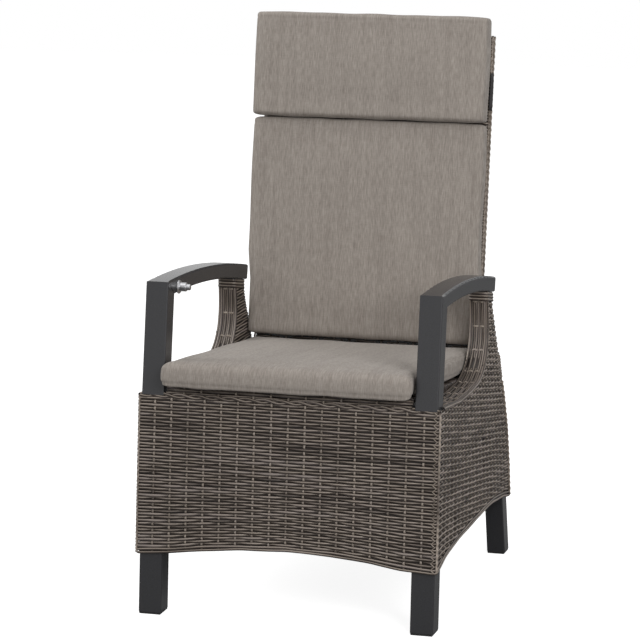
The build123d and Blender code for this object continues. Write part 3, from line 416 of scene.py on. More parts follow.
def split_wicker(colours):
    """Extruded polyethylene strand, half round and matt: a painted highlight, a thin light line along its
    crown, painted shade on its flanks, and fine streaks in tones of one brown grey, which give the eye
    the grain of split cane."""
    material, tree = new_material("polyethylene_wicker")
    place = add(tree, "ShaderNodeUVMap").outputs["UV"]
    # streaks about 1 mm wide and 60 mm long
    fine = add(tree, "ShaderNodeMapping", {"Vector": place, "Scale": (16, 6.3, 1)})
    streak = add(tree, "ShaderNodeTexNoise",
                 {"Vector": fine, "Scale": 1.0, "Detail": 3.0, "Roughness": 0.6})
    slow = add(tree, "ShaderNodeMapping", {"Vector": place, "Scale": (5, 0.31, 1)})
    patch = add(tree, "ShaderNodeTexNoise", {"Vector": slow, "Scale": 1.0, "Detail": 1.0})
    around = add(tree, "ShaderNodeSeparateXYZ", {0: place}).outputs["Y"]
    around = add(tree, "ShaderNodeMath", {0: around}, operation="FRACT")
    # painted highlight and shade round the section: a light line along the crown, where the light falls,
    # and dark flanks in shade
    crown_highlight_flank_shade = add(tree, "ShaderNodeValToRGB", {"Fac": around}, [
        (share, (grey, grey, grey, 1)) for share, grey in (
            (0.0, 0.0), (0.12, 0.3), (0.24, 0.5), (0.29, 1.0), (0.34, 1.0), (0.4, 0.5), (0.5, 0.0),
            (0.75, 0.1))])
    both = add(tree, "ShaderNodeMath", {0: patch, 1: 1.5, 2: streak}, operation="MULTIPLY_ADD")
    both = add(tree, "ShaderNodeMath", {0: both, 1: crown_highlight_flank_shade}, operation="ADD")
    shade = add(tree, "ShaderNodeMapRange", {"Value": both, "From Min": 1.2, "From Max": 2.35})
    # from the painted flank shade through the strand's own tone to the painted crown highlight, mixed
    # with the real streaks and patches
    brown = add(tree, "ShaderNodeValToRGB", {"Fac": shade}, [
        (0.0, colours.strand_dark_and_shade), (0.5, colours.strand_mid), (1.0, colours.strand_light_and_highlight)])
    # some lengths lean to violet, as the colourant does
    tint = add(tree, "ShaderNodeMapRange",
               {"Value": patch, "From Min": 0.5, "From Max": 0.75, "To Max": 0.3})
    colour = add(tree, "ShaderNodeMix", {"Factor": tint, 6: brown, 7: colours.strand_violet},
                 data_type="RGBA").outputs[2]
    bump = add(tree, "ShaderNodeBump", {"Height": streak, "Strength": 0.25, "Distance": 0.0004})
    shader = add(tree, "ShaderNodeBsdfPrincipled",
                 {"Base Color": colour, "Roughness": 0.5, "Normal": bump})
    add(tree, "ShaderNodeOutputMaterial", {"Surface": shader})
    return material


def powder_coat(colours):
    """Polyester powder coat on aluminium tube: satin, with the fine orange peel of a baked powder."""
    material, tree = new_material("powder_coat")
    place = add(tree, "ShaderNodeTexCoord").outputs["Object"]
    # orange peel about 1.5 mm across
    peel = add(tree, "ShaderNodeTexNoise", {"Vector": place, "Scale": 700.0, "Detail": 2.0})
    colour = add(tree, "ShaderNodeValToRGB", {"Fac": peel}, [
        (0.35, linear("29292b")), (0.65, colours.frame_paint)])
    bump = add(tree, "ShaderNodeBump", {"Height": peel, "Strength": 0.12, "Distance": 0.0002})
    shader = add(tree, "ShaderNodeBsdfPrincipled",
                 {"Base Color": colour, "Roughness": 0.27, "Normal": bump})
    add(tree, "ShaderNodeOutputMaterial", {"Surface": shader})
    return material


def turned_fitting(name, colour, roughness, grain):
    """Bare metal of a pin, rod or button: its turned or drawn lines, as coarse as they need to show."""
    material, tree = new_material(name)
    place = add(tree, "ShaderNodeTexCoord").outputs["Object"]
    lines = add(tree, "ShaderNodeMapping", {"Vector": place, "Scale": grain})
    noise = add(tree, "ShaderNodeTexNoise", {"Vector": lines, "Scale": 1.0, "Detail": 2.0})
    rough = add(tree, "ShaderNodeMapRange",
                {"Value": noise, "To Min": roughness * 0.8, "To Max": roughness * 1.25})
    shader = add(tree, "ShaderNodeBsdfPrincipled",
                 {"Base Color": linear(colour), "Metallic": 1.0, "Roughness": rough})
    add(tree, "ShaderNodeOutputMaterial", {"Surface": shader})
    return material


def moulded_fitting(name, colour, roughness):
    """Moulded nylon of a glide or bush, or the lacquer of the gas spring, with a fine grain."""
    material, tree = new_material(name)
    place = add(tree, "ShaderNodeTexCoord").outputs["Object"]
    grain = add(tree, "ShaderNodeTexNoise", {"Vector": place, "Scale": 1500.0, "Detail": 2.0})
    bump = add(tree, "ShaderNodeBump", {"Height": grain, "Strength": 0.1, "Distance": 0.0002})
    shader = add(tree, "ShaderNodeBsdfPrincipled",
                 {"Base Color": linear(colour), "Roughness": roughness, "Normal": bump})
    add(tree, "ShaderNodeOutputMaterial", {"Surface": shader})
    return material


def cushion_cloth(colours):
    """Woven acrylic outdoor cloth: matt, with slubs, thicker darker and paler stretches of yarn that run
    up the cushion, over a finer and fainter cross yarn."""
    material, tree = new_material("outdoor_cloth")
    place = add(tree, "ShaderNodeTexCoord").outputs["Object"]
    # slubs 1.5 mm wide and 15 mm long
    long = add(tree, "ShaderNodeMapping", {"Vector": place, "Scale": (640, 60, 80)})
    slub = add(tree, "ShaderNodeTexNoise", {"Vector": long, "Scale": 1.0, "Detail": 2.0})
    # broad faint stripes 8 mm wide, where the yarn varies along the bolt
    broad = add(tree, "ShaderNodeMapping", {"Vector": place, "Scale": (120, 7, 10)})
    stripe = add(tree, "ShaderNodeTexNoise", {"Vector": broad, "Scale": 1.0, "Detail": 1.0})
    weft = add(tree, "ShaderNodeMapping", {"Vector": place, "Scale": (90, 1100, 1100)})
    cross = add(tree, "ShaderNodeTexNoise", {"Vector": weft, "Scale": 1.0, "Detail": 1.0})
    faint = add(tree, "ShaderNodeMath", {0: cross, 1: 0.3}, operation="MULTIPLY")
    mixed = add(tree, "ShaderNodeMath", {0: slub, 1: faint}, operation="ADD")
    both = add(tree, "ShaderNodeMath", {0: stripe, 1: 0.3, 2: mixed}, operation="MULTIPLY_ADD")
    shade = add(tree, "ShaderNodeMapRange", {"Value": both, "From Min": 0.55, "From Max": 1.07})
    colour = add(tree, "ShaderNodeValToRGB", {"Fac": shade}, [
        (0.0, colours.cloth_dark), (0.5, colours.cloth), (1.0, colours.cloth_light)])
    bump = add(tree, "ShaderNodeBump", {"Height": mixed, "Strength": 0.2, "Distance": 0.0005})
    shader = add(tree, "ShaderNodeBsdfPrincipled",
                 {"Base Color": colour, "Roughness": 0.9, "Sheen Weight": 0.1, "Normal": bump})
    add(tree, "ShaderNodeOutputMaterial", {"Surface": shader})
    return material


def elastic_webbing(colours):
    """Ribbed elastic webbing: dull, near black, with ribs 1.5 mm apart."""
    material, tree = new_material("elastic_webbing")
    place = add(tree, "ShaderNodeTexCoord").outputs["Object"]
    ribs = add(tree, "ShaderNodeTexWave", {"Vector": place, "Scale": 100.0, "Distortion": 1.0},
               bands_direction="Z").outputs[1]
    bump = add(tree, "ShaderNodeBump", {"Height": ribs, "Strength": 0.4, "Distance": 0.0005})
    shader = add(tree, "ShaderNodeBsdfPrincipled",
                 {"Base Color": colours.strap, "Roughness": 0.8, "Normal": bump})
    add(tree, "ShaderNodeOutputMaterial", {"Surface": shader})
    return material


def shared(name, maker, *values):
    """The material of that name, made the first time it is asked for."""
    return bpy.data.materials.get(name) or maker(*values)


def give(material, *names):
    """Puts a material on CAD nodes."""
    for name in names:
        slots = NODES[name].data.materials
        slots.clear()
        slots.append(material)


# ---------------------------------------------------------------- operators

class ARMCHAIR_OT_camera(bpy.types.Operator):
    """Camera at the photograph's place, looking at the chair"""
    bl_idname = "armchair.camera"
    bl_label = "Camera"

    def execute(self, context):
        data = bpy.data.cameras.new("camera")
        data.lens, data.sensor_width = 183.91, 36
        camera = bpy.data.objects.new("camera", data)
        context.scene.collection.objects.link(camera)
        target = Vector((-0.04449, 0.04635, 0.52047))
        azimuth, elevation, distance = math.radians(15.99), math.radians(10.97), 6.5977
        away = Vector((math.sin(azimuth) * math.cos(elevation),
                       -math.cos(azimuth) * math.cos(elevation), math.sin(elevation)))
        camera.location = target + away * distance
        camera.rotation_euler = (-away).to_track_quat("-Z", "Y").to_euler()
        context.scene.camera = camera
        return {"FINISHED"}


class ARMCHAIR_OT_stage(bpy.types.Operator):
    """Pale floor, soft studio lamps and a white surround"""
    bl_idname = "armchair.stage"
    bl_label = "Stage"

    def execute(self, context):
        corners = [(-6, -9, 0), (6, -9, 0), (6, 9, 0), (-6, 9, 0)]
        white = (1, 1, 1, 1)
        material, tree = new_material("floor_white")
        # matt white card, which the camera sees a little brighter, so that only the shadow is grey
        to_camera = add(tree, "ShaderNodeLightPath").outputs["Is Camera Ray"]
        tones = {"Factor": to_camera, 6: linear("a0a0a0"), 7: linear("c8c8c8")}
        grey = add(tree, "ShaderNodeMix", tones, data_type="RGBA").outputs[2]
        card = add(tree, "ShaderNodeBsdfDiffuse", {"Color": grey})
        lift = add(tree, "ShaderNodeMath", {0: to_camera, 1: 0.87}, operation="MULTIPLY")
        glow = add(tree, "ShaderNodeEmission", {"Color": white, "Strength": lift})
        both = add(tree, "ShaderNodeAddShader", {0: card, 1: glow})
        add(tree, "ShaderNodeOutputMaterial", {"Surface": both})
        floor = mesh_object("floor", corners, [(0, 1, 2, 3)], None, material)
        # white surround, dimmer as a light than as the eye or a shiny surface sees it
        world = bpy.data.worlds.new("studio")
        context.scene.world = world
        world.use_nodes = True
        tree = world.node_tree
        tree.nodes.clear()
        path = add(tree, "ShaderNodeLightPath").outputs
        seen = path["Is Camera Ray"]
        for ray in ("Is Glossy Ray", "Is Transmission Ray"):
            seen = add(tree, "ShaderNodeMath", {0: seen, 1: path[ray]}, operation="MAXIMUM")
        level = add(tree, "ShaderNodeMapRange", {"Value": seen, "To Min": 0.4, "To Max": 1.0})
        sky = add(tree, "ShaderNodeBackground", {"Color": white, "Strength": level})
        add(tree, "ShaderNodeOutputWorld", {"Surface": sky})
        for name, place, size, power in (("key_lamp", (3.2, -4.0, 3.0), 2.4, 158),
                                         ("top_lamp", (-0.6, -0.8, 4.6), 2.6, 30),
                                         ("left_lamp", (-3.6, 0.2, 2.2), 2.0, 60)):
            data = bpy.data.lights.new(name, "AREA")
            data.size, data.energy = size, power
            lamp = bpy.data.objects.new(name, data)
            lamp.location = place
            from_middle = lamp.location - Vector((0, 0, 0.5))
            lamp.rotation_euler = from_middle.to_track_quat("Z", "Y").to_euler()
            context.scene.collection.objects.link(lamp)
        context.scene.view_settings.view_transform = "Standard"
        return {"FINISHED"}


class ARMCHAIR_OT_frame_paint(bpy.types.Operator):
    """Powder coat on the aluminium tubes, plates and brackets"""
    bl_idname = "armchair.frame_paint"
    bl_label = "Frame paint"

    def execute(self, context):
        coat = shared("powder_coat", powder_coat, context.scene.armchair_colours)
        give(coat, *[name for name, obj in NODES.items()
                     if not any(part in name for part in ("weave", "cushion", "strap", "deck"))])
        return {"FINISHED"}


class ARMCHAIR_OT_fittings(bpy.types.Operator):
    """Steel pins, gas spring, plastic glides and the bright release button"""
    bl_idname = "armchair.fittings"
    bl_label = "Fittings"

    def execute(self, context):
        aslant, along, across = (900, 900, 900), (500, 20, 500), (20, 900, 900)
        give(turned_fitting("zinc_plated_steel", "b9b9bb", 0.35, aslant),
             "pivot_bolts", "pivot_washers", "clevis_pin", "button_spring", "cable_stop", "release_head",
             "release_pivot", "release_lever", "extension_link", "lever_pin")
        give(turned_fitting("chromed_rod", "d6d6d8", 0.12, along), "gas_rod")
        give(turned_fitting("polished_aluminium", "b9b9bb", 0.3, across),
             "button_housing", "release_button")
        give(moulded_fitting("black_lacquer", "161617", 0.3), "gas_cylinder")
        give(moulded_fitting("nylon_black", "1b1b1c", 0.5),
             "foot_glides", "pivot_bushes", "gas_spring_gland")
        return {"FINISHED"}


def weave_row(strands, sizes, points, normals, place, row, closed, wave=None, corners=()):
    """One woven strand over and under the spokes, on the inside of its skin. It wanders a little, and it
    is drawn tight round the outside of the corner spokes."""
    swing = (sizes.weave_wave if wave is None else wave) * 1000
    thick = sizes.strand_thick * 1000
    beat = np.cos(math.pi * (place + row))
    wander = 0.35 * np.sin(1.7 * place + 2.4 * row) + 0.35 * np.sin(0.61 * place + 5.1 * row)
    for corner in corners:
        loose = np.clip(np.abs(place - corner) / 0.8, 0, 1)
        beat = beat * loose + 0.7 * (1 - loose)
        wander = wander * loose
    # the strand is stiff, so it lies flat over a spoke and dives steeply beside it
    bent = np.sign(beat) * np.abs(beat) ** 0.75
    path = points + normals * (swing * bent - swing - thick / 2)[:, None]
    path[:, 2] += wander
    # and it flattens wider on its crowns, the more it swings
    width = sizes.strand_width * 1000 * (1 + (swing / 8.2) ** 2 * beat)
    strands.add(path, normals, width, thick, closed)


def skin_frame(place, level, closed):
    """Points and outward normals of a row of the base."""
    z = row_height(level, place)
    here = smooth(base_skin(place, z), closed)
    above = smooth(base_skin(place, z + 2), closed)
    along = np.roll(here, -1, 0) - np.roll(here, 1, 0) if closed else np.gradient(here, axis=0)
    normals = unit(np.cross(along, above - here))
    return here, normals


def wicker(scene):
    return shared("polyethylene_wicker", split_wicker, scene.armchair_colours)


class ARMCHAIR_OT_woven_base(bpy.types.Operator):
    """Woven skirt, sides and pillars: rows of flat strands over upright spokes"""
    bl_idname = "armchair.woven_base"
    bl_label = "Woven base"

    def execute(self, context):
        sizes = context.scene.armchair_sizes
        strands = Strands()
        pitch = sizes.strand_pitch * 1000
        first = SKIRT_LOW + pitch / 2
        ring = np.arange(0, AROUND, 1 / sizes.samples) - HALF_FACE
        end = HALF_FACE + SIDE_STEPS
        sweep = np.arange(-end, end + 0.01, 1 / sizes.samples)
        for row in range(int((RIM_PILLAR[-1][1] - first) / pitch)):
            level = first + row * pitch
            if level >= PILLAR_LOW:
                self.pillar_row(strands, sizes, level, row)
                continue
            # the rows run all round up to the rear skirt's top, and above it round the front and sides
            closed = level < REAR_SKIRT_TOP
            place = ring if closed else sweep
            wave = (row > 1) * self.waves(sizes, place)
            points, normals = skin_frame(place, level, closed)
            good = closed | (np.abs(place) <= HALF_FACE) | under_rim(points[:, 1], points[:, 2], 2)
            for a, b in runs(good):
                weave_row(strands, sizes, points[a:b], normals[a:b], place[a:b], row, closed, wave[a:b],
                          CORNER_SPOKES)
        self.spokes(strands, sizes, first, pitch)
        self.shade_lining(strands, ring, sweep)
        woven = strands.make("woven_base", wicker(context.scene))
        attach(woven, "base")
        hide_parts("front_skirt_weave", "rear_skirt_weave", "left_side_weave", "right_side_weave")
        return {"FINISHED"}

    def waves(self, sizes, place):
        """Swing of the strands at each place: more on the sides than on the front and rear."""
        p = base_faces(place)[0]
        rear = HALF_FACE + SIDE_STEPS
        side = (p > HALF_FACE) & (p < rear) | (p > rear + FACE_STEPS)
        return np.where(side, sizes.side_wave, sizes.weave_wave)

    def pillar_row(self, strands, sizes, level, row):
        """Rows above the seat: along the outer wall, round the back of the pillar and its inner wall."""
        corner, back = HALF_FACE + SIDE_STEPS, back_y(level)
        outer = np.arange(HALF_FACE, corner, 1 / sizes.samples)
        points = base_skin(outer, level + 0 * outer)
        rear = points_at(np.arange(points[-1, 0] - 4, PILLAR_INNER + 4, -5), back, level)
        inner = points_at(PILLAR_INNER, np.arange(back, 425, -5.6), level)
        path = smooth(np.concatenate([points, rear, inner]), False, 2)
        place = np.concatenate([outer, corner + np.arange(len(rear)) / len(rear) * 2,
                                corner + 2 + (back - inner[:, 1]) / 33.5])
        normals = unit(np.cross(np.gradient(path, axis=0), np.array([0, 0, 1.0])))
        on_outer = np.arange(len(path)) < len(points)
        wave = np.where(on_outer, sizes.side_wave, 0.0008)
        good = under_rim(path[:, 1], path[:, 2], 1.5) & (on_outer | (path[:, 1] > 432))
        for a, b in runs(good):
            for side in (1, -1):
                turned = path[a:b] * (side, 1, 1), normals[a:b] * (side, 1, 1), place[a:b]
                weave_row(strands, sizes, *(part[::side] for part in turned), row, False,
                          wave[a:b][::side], (corner, corner + 2))

    def spokes(self, strands, sizes, first, pitch):
        """Upright strands between the rows, which lie deeper at the corners."""
        tops = {"front": SKIRT_TOP, "side": RIM_PILLAR[-1][1], "rear": REAR_SKIRT_TOP}
        rear = HALF_FACE + SIDE_STEPS
        for place in range(-FACE_STEPS // 2, AROUND - FACE_STEPS // 2):
            face = "front" if place < HALF_FACE else "rear" if 0 <= place - rear < FACE_STEPS else "side"
            levels = np.arange(first, tops[face], pitch / 2)
            places = np.full(len(levels), float(place))
            z = row_height(levels, places)
            here, beside = base_skin(places, z), base_skin(places + 0.2, z)
            normals = unit(np.cross(beside - here, np.gradient(here, axis=0)))
            beat = np.cos(math.pi * (place + (levels - first) / pitch))
            swing = 1000 * (sizes.side_wave if face == "side" else sizes.weave_wave)
            inset = swing + sizes.strand_thick * 500 + (5 if place in CORNER_SPOKES else 0)
            path = here - normals * (swing * beat + inset)[:, None]
            for a, b in runs((face != "side") | under_rim(here[:, 1], here[:, 2], 2)):
                # the spokes are paler, with the painted crown highlight carried all round
                strands.add(path[a:b], normals[a:b], 1000 * sizes.spoke_width, SPOKE_THICK, pale=True)

    def shade_lining(self, strands, ring, sweep):
        """Inner face of the weave, behind the strands, as a dark sheet of painted shade: all round,
        beside the seat, then the pillars.
        """
        for place, low, high in ((ring, SKIRT_LOW + 1, REAR_SKIRT_TOP - 1),
                                 (sweep, REAR_SKIRT_TOP - 1, PILLAR_LOW)):
            y = base_skin(place, high + 0 * place)[:, 1]
            cap = np.where(np.abs(place) > HALF_FACE, table(RIM_TOP, y) - 4, SKIRT_TOP - 3)
            rows = [skin_frame(place, np.minimum(level, cap), place is ring)
                    for level in np.linspace(low, high, 12)]
            strands.line([points - SHADE_SHEET_DEPTH * normals for points, normals in rows], place is ring)
        loops = []
        for level in np.linspace(PILLAR_LOW - 6, PILLAR_TOP[1][1] - 3, 14):
            ys = np.linspace(table(RIM_PILLAR, level, by=1) + 6, back_y(level) - SHADE_SHEET_DEPTH, 8)
            outer = points_at(side_x(ys, level) - SHADE_SHEET_DEPTH, ys, level)
            inner = points_at(PILLAR_INNER + SHADE_SHEET_DEPTH, ys, level)
            loops.append(np.concatenate([outer, inner[::-1]]))
        for side in (1, -1):
            strands.line([loop * (side, 1, 1) for loop in loops], True)


class ARMCHAIR_OT_woven_edges(bpy.types.Operator):
    """Border strands along the rims, the ledges beside the seat and the pillars' fronts"""
    bl_idname = "armchair.woven_edges"
    bl_label = "Woven edges"

    def execute(self, context):
        sizes = context.scene.armchair_sizes
        strands = Strands()
        width = sizes.border_width * 1000
        line = rim_path()
        along = np.gradient(line, axis=0)
        out = unit(np.stack([-along[:, 1], along[:, 0]], -1))
        up = points_at(0, out[:, 0], out[:, 1])
        edge_x = side_x(line[:, 0], line[:, 1])
        travelled = walked(line)

        def below(x, drop, i=slice(None)):
            """Points that lie a little below the rim."""
            return points_at(x, line[i, 0] - out[i, 0] * drop, line[i, 1] - out[i, 1] * drop)

        count = int((edge_x[0] - PILLAR_INNER) / (width + 0.6))
        for side in (1, -1):
            flip = (side, 1, 1)
            for number in range(count + 1):
                x = edge_x - 3 - number / count * (edge_x - 3 - PILLAR_INNER - 3)
                beat = np.cos(math.pi * (travelled / CROSS_EVERY + number))
                edge = number in (0, 1, count)
                drop = 2.2 + 0 * beat if edge else 4.2 - 1.1 * beat
                strands.add(below(x, drop) * flip, up, width - 0.8 if edge else width - 1.8, 2.6)
            # a dark sheet of painted shade under the ledge's strands
            strands.line([below(x, 6.5) * flip for x in (edge_x - 3, PILLAR_INNER + 2)])
            sideways = np.tile((side, 0.0, 0.0), (len(line), 1))
            strands.add(below(edge_x - 1.4, 4.2) * flip, sideways, width, BORDER_THICK)
            for start in np.arange(CROSS_EVERY / 2, travelled[-1], CROSS_EVERY):
                i = int(np.argmin(np.abs(travelled - start)))
                xs = np.linspace(edge_x[i] - 8, PILLAR_INNER + 4, 24)
                beat = np.cos(math.pi * (edge_x[i] - xs) / (width + 0.6))
                upward = np.tile(up[i], (len(xs), 1))
                # the cross strands are paler, with the painted crown highlight carried all round
                strands.add(below(xs, 3.2 - 1.3 * beat, i) * flip, upward, 4.4, 1.6, pale=True)
            # the ends of the rows are wrapped at the rear corner, between the rear skirt and the pillar:
            # painted highlight all round lightens that strand in its shade
            level = np.arange(REAR_SKIRT_TOP - 8, PILLAR_LOW + 8, 6.0)
            post = points_at(side_x(back_y(level), level) - 4, back_y(level) - 4, level)
            outward = np.tile((0.7 * side, 0.7, 0), (len(level), 1))
            strands.add(post * flip, outward, width, 4.6, pale=True)
            # a paler strand, with the painted crown highlight carried all round, runs down each front
            # corner, over and under the turns of the rows
            pitch = sizes.strand_pitch * 1000
            level = np.arange(SKIRT_LOW + pitch / 2, SKIRT_TOP, pitch / 2)
            place = np.full(len(level), HALF_FACE)
            dive = 3.1 + 1.1 * np.cos(math.pi * (level - level[0]) / pitch)
            post = base_skin(place, row_height(level, place)) - np.outer(dive, (0.7, -0.7, 0))
            outward = np.tile((0.7 * side, -0.7, 0), (len(level), 1))
            strands.add(post * flip, outward, 5, 2.6, pale=True)
        self.front_border(strands, width)
        self.pillar_wraps(strands, width)
        woven = strands.make("woven_edges", wicker(context.scene))
        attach(woven, "base")
        return {"FINISHED"}

    def front_border(self, strands, width):
        """Two strands that cross over each other along the front's top edge, and one behind them."""
        place = np.arange(-8.9, 8.91, 0.1)
        for phase in (0, 1):
            turn = math.pi * (place + phase)
            z = 431.5 + 3.1 * np.sin(turn)
            x = base_skin(place, np.minimum(z, SKIRT_TOP))[:, 0]
            path = points_at(x, front_y(z) + 2.2 + 0.9 * np.cos(turn), z)
            strands.add(path, np.tile((0, -1.0, 0.15), (len(path), 1)), width * 0.9, BORDER_THICK)
        path = points_at(np.linspace(-246, 246, 90), 36, 435.5)
        strands.add(path, np.tile((0, -0.6, 0.8), (90, 1)), width, BORDER_THICK)

    def pillar_wraps(self, strands, width):
        """Three turns of strand round the top of each pillar, under the armrest's plate."""
        for turn in range(3):
            drop = 3.2 + turn * width
            front, back = (482, 582 - drop), (546, 569 - drop)
            x_front, x_back = side_x(*front), side_x(*back)
            corners = np.array([(x_front, *front), (x_back, *back), (PILLAR_INNER, *back),
                                (PILLAR_INNER, *front), (x_front, *front)], float)
            path = np.concatenate([np.linspace(a, b, 12, endpoint=False)
                                   for a, b in zip(corners, corners[1:])])
            path = smooth(path, True, 3)
            out = unit((path - path.mean(0)) * (1, 1, 0.05))
            path = path + out * 0.3
            for side in (1, -1):
                flip = (side, 1, 1)
                strands.add((path * flip)[::side], (out * flip)[::side], width, BORDER_THICK, True)


class ARMCHAIR_OT_woven_back(bpy.types.Operator):
    """Woven sleeve over the backrest's frame"""
    bl_idname = "armchair.woven_back"
    bl_label = "Woven back"

    def execute(self, context):
        sizes = context.scene.armchair_sizes
        strands = Strands()
        half, depth, low, high = 239.5, 13, 30, 683
        pitch, wave = sizes.strand_pitch * 1000, sizes.weave_wave * 1000
        steps = 14
        ring = np.arange(0, 2 * steps + 2, 1 / sizes.samples)
        corners = (0, steps, steps + 1, 2 * steps + 1, 2 * steps + 2)
        x = np.interp(ring, corners, (-half, half, half, -half, -half))
        v = np.interp(ring, corners, (-depth, -depth, depth, depth, -depth))
        for row in range(int((high - low - 6) / pitch) + 1):
            flat = smooth(points_at(x, v, low + pitch / 2 + row * pitch), True)
            along = np.roll(flat, -1, 0) - np.roll(flat, 1, 0)
            normals = unit(np.cross(along, np.array([0, 0, 1.0])))
            weave_row(strands, sizes, tilted(flat, *BACK), leant(normals, BACK), ring, row, True,
                      corners=corners)
        # a dark sheet of painted shade inside the sleeve, behind the strands
        rim = np.array([(-1, -1), (1, -1), (1, 1), (-1, 1)])
        rim = rim * (half - SHADE_SHEET_DEPTH, depth - SHADE_SHEET_DEPTH)
        strands.line([tilted(points_at(rim[:, 0], rim[:, 1] * share, u), *BACK)
                      for u, share in ((low + 2, 1), (high - 6, 1), (high - 6, 0))], True)
        us = np.arange(low, high - 4, pitch / 2)
        for spoke in range(2 * steps + 2):
            out = np.array([0, -1.0 if spoke <= steps else 1.0, 0])
            beat = np.cos(math.pi * (spoke + (us - low - pitch / 2) / pitch))
            flat = (points_at(np.interp(spoke, ring, x), np.interp(spoke, ring, v), us)
                    - out * (wave * beat + wave + 1.2)[:, None])
            strands.add(tilted(flat, *BACK), np.tile(leant(out, BACK), (len(us), 1)),
                        # the spokes are paler, with the painted crown highlight carried all round
                        sizes.spoke_width * 1000, SPOKE_THICK, pale=True)
        # five strands lie side by side round the top edge
        xs = np.arange(-half + 6, half - 6, 6)
        for angle in np.linspace(-1, 1, 5) * math.pi / 2:
            s, c = math.sin(angle), math.cos(angle)
            flat = points_at(xs, s * (depth - 3), high - 13 + c * 10)
            strands.add(tilted(flat, *BACK), np.tile(leant((0, s, c), BACK), (len(xs), 1)), 6.2, 2.6)
        woven = strands.make("woven_back", wicker(context.scene))
        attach(woven, "backrest")
        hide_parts("back_weave")
        return {"FINISHED"}


class ARMCHAIR_OT_woven_seat(bpy.types.Operator):
    """Woven seat under the cushion, rolled over the front rail and the side rails"""
    bl_idname = "armchair.woven_seat"
    bl_label = "Woven seat"

    def execute(self, context):
        sizes = context.scene.armchair_sizes
        strands = Strands()
        half, long, flange, nose = 245, 530, 19.5, 14
        pitch, steps = sizes.strand_pitch * 1000, 14
        bend = np.linspace(math.pi, math.pi / 2, 5)[1:]
        section = np.array([(0, -flange), (0, -nose)]
                           + [(nose + nose * math.cos(a), -nose + nose * math.sin(a)) for a in bend]
                           + [(long, 0)])
        travelled = walked(section)

        def along(s):
            """Place in the section, from the front flange's lower edge."""
            return np.stack([np.interp(s, travelled, column) for column in section.T], -1)

        place = np.arange(0, steps + 1 / 12, 1 / sizes.samples)
        xs = -half + 2 * half * place / steps
        for row in range(int(travelled[-1] / pitch)):
            s = pitch / 2 + row * pitch
            y, z = along(s)
            ahead = along(s + 1) - (y, z)
            flat, spots = points_at(xs, y, z), place
            normals = np.tile((0, -ahead[1], ahead[0]), (len(xs), 1))
            if z > -1:
                down = np.arange(-flange, 0, 5)
                left = points_at(-half, y, down)
                flat = smooth(np.concatenate([left, flat, left[::-1] * (-1, 1, 1)]), False)
                wide = np.tile((1.0, 0, 0), (len(down), 1))
                normals = np.concatenate([-wide, normals, wide])
                spots = np.concatenate([down / 33, place, steps - down[::-1] / 33])
            weave_row(strands, sizes, tilted(flat, *SEAT), leant(normals, SEAT), spots, row, False)
        # a dark sheet of painted shade under the seat's strands
        inside = along(np.linspace(0, travelled[-1], 24))
        inside = points_at(0, inside[:, 0], inside[:, 1])
        inside -= SHADE_SHEET_DEPTH * unit(np.cross((1.0, 0, 0), np.gradient(inside, axis=0)))
        strands.line([tilted(inside + (x, 0, 0), *SEAT) for x in (4 - half, half - 4)])
        s = np.arange(1, travelled[-1], pitch / 2)
        y, z = along(s).T
        for spoke in range(1, steps):
            flat = points_at(-half + 2 * half * spoke / steps, y, z)
            out = unit(np.cross((1.0, 0, 0), np.gradient(flat, axis=0)))
            beat = np.cos(math.pi * (spoke + (s - pitch / 2) / pitch))
            flat = flat - out * (1.5 * beat + 2.7)[:, None]
            # the spokes are paler, with the painted crown highlight carried all round
            strands.add(tilted(flat, *SEAT), leant(out, SEAT), 4, SPOKE_THICK, pale=True)
        woven = strands.make("woven_seat", wicker(context.scene))
        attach(woven, "base")
        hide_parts("seat_deck")
        return {"FINISHED"}


# ---------------------------------------------------------------- cushions

def pillow_mesh(name, half, length, thick, corner, roll):
    """Closed cushion lying flat: x across, y along, z up, all in metres. corner is the radius of its
    corners seen from above, and roll is how deep its edges are rounded."""
    counts = nx, ny, nz = 30, 34, 4
    verts, faces, index = [], [], {}

    def face(*places):
        for place in places:
            if place not in index:
                index[place] = len(verts)
                verts.append([2 * n / count - 1 for n, count in zip(place, counts)])
        faces.append([index[place] for place in places])

    for i in range(nx):
        for j in range(ny):
            face((i, j, 0), (i, j + 1, 0), (i + 1, j + 1, 0), (i + 1, j, 0))
            face((i, j, nz), (i + 1, j, nz), (i + 1, j + 1, nz), (i, j + 1, nz))
    for k in range(nz):
        for i in range(nx):
            face((i, 0, k), (i + 1, 0, k), (i + 1, 0, k + 1), (i, 0, k + 1))
            face((i, ny, k), (i, ny, k + 1), (i + 1, ny, k + 1), (i + 1, ny, k))
        for j in range(ny):
            face((0, j, k), (0, j, k + 1), (0, j + 1, k + 1), (0, j + 1, k))
            face((nx, j, k), (nx, j + 1, k), (nx, j + 1, k + 1), (nx, j, k + 1))
    cube = np.array(verts)
    size = np.array([half, length / 2, thick / 2])
    radius = np.array([corner, corner, roll])
    core = size - radius
    box_point = cube * size
    inner = np.clip(box_point, -core, core)
    away = unit((box_point - inner) / radius + 1e-9 * cube)
    outside = np.any(np.abs(box_point) > core + 1e-9, axis=1)
    rounded = np.where(outside[:, None], inner + away * radius, box_point)
    return mesh_object(name, rounded + (0, length / 2, thick / 2), faces)


def applied(obj):
    """Replaces an object's mesh with its evaluated one, with its modifiers applied."""
    depsgraph = bpy.context.evaluated_depsgraph_get()
    depsgraph.update()
    mesh = bpy.data.meshes.new_from_object(obj.evaluated_get(depsgraph))
    old = obj.data
    obj.modifiers.clear()
    obj.data = mesh
    bpy.data.meshes.remove(old)
    mesh.polygons.foreach_set("use_smooth", np.ones(len(mesh.polygons), bool))


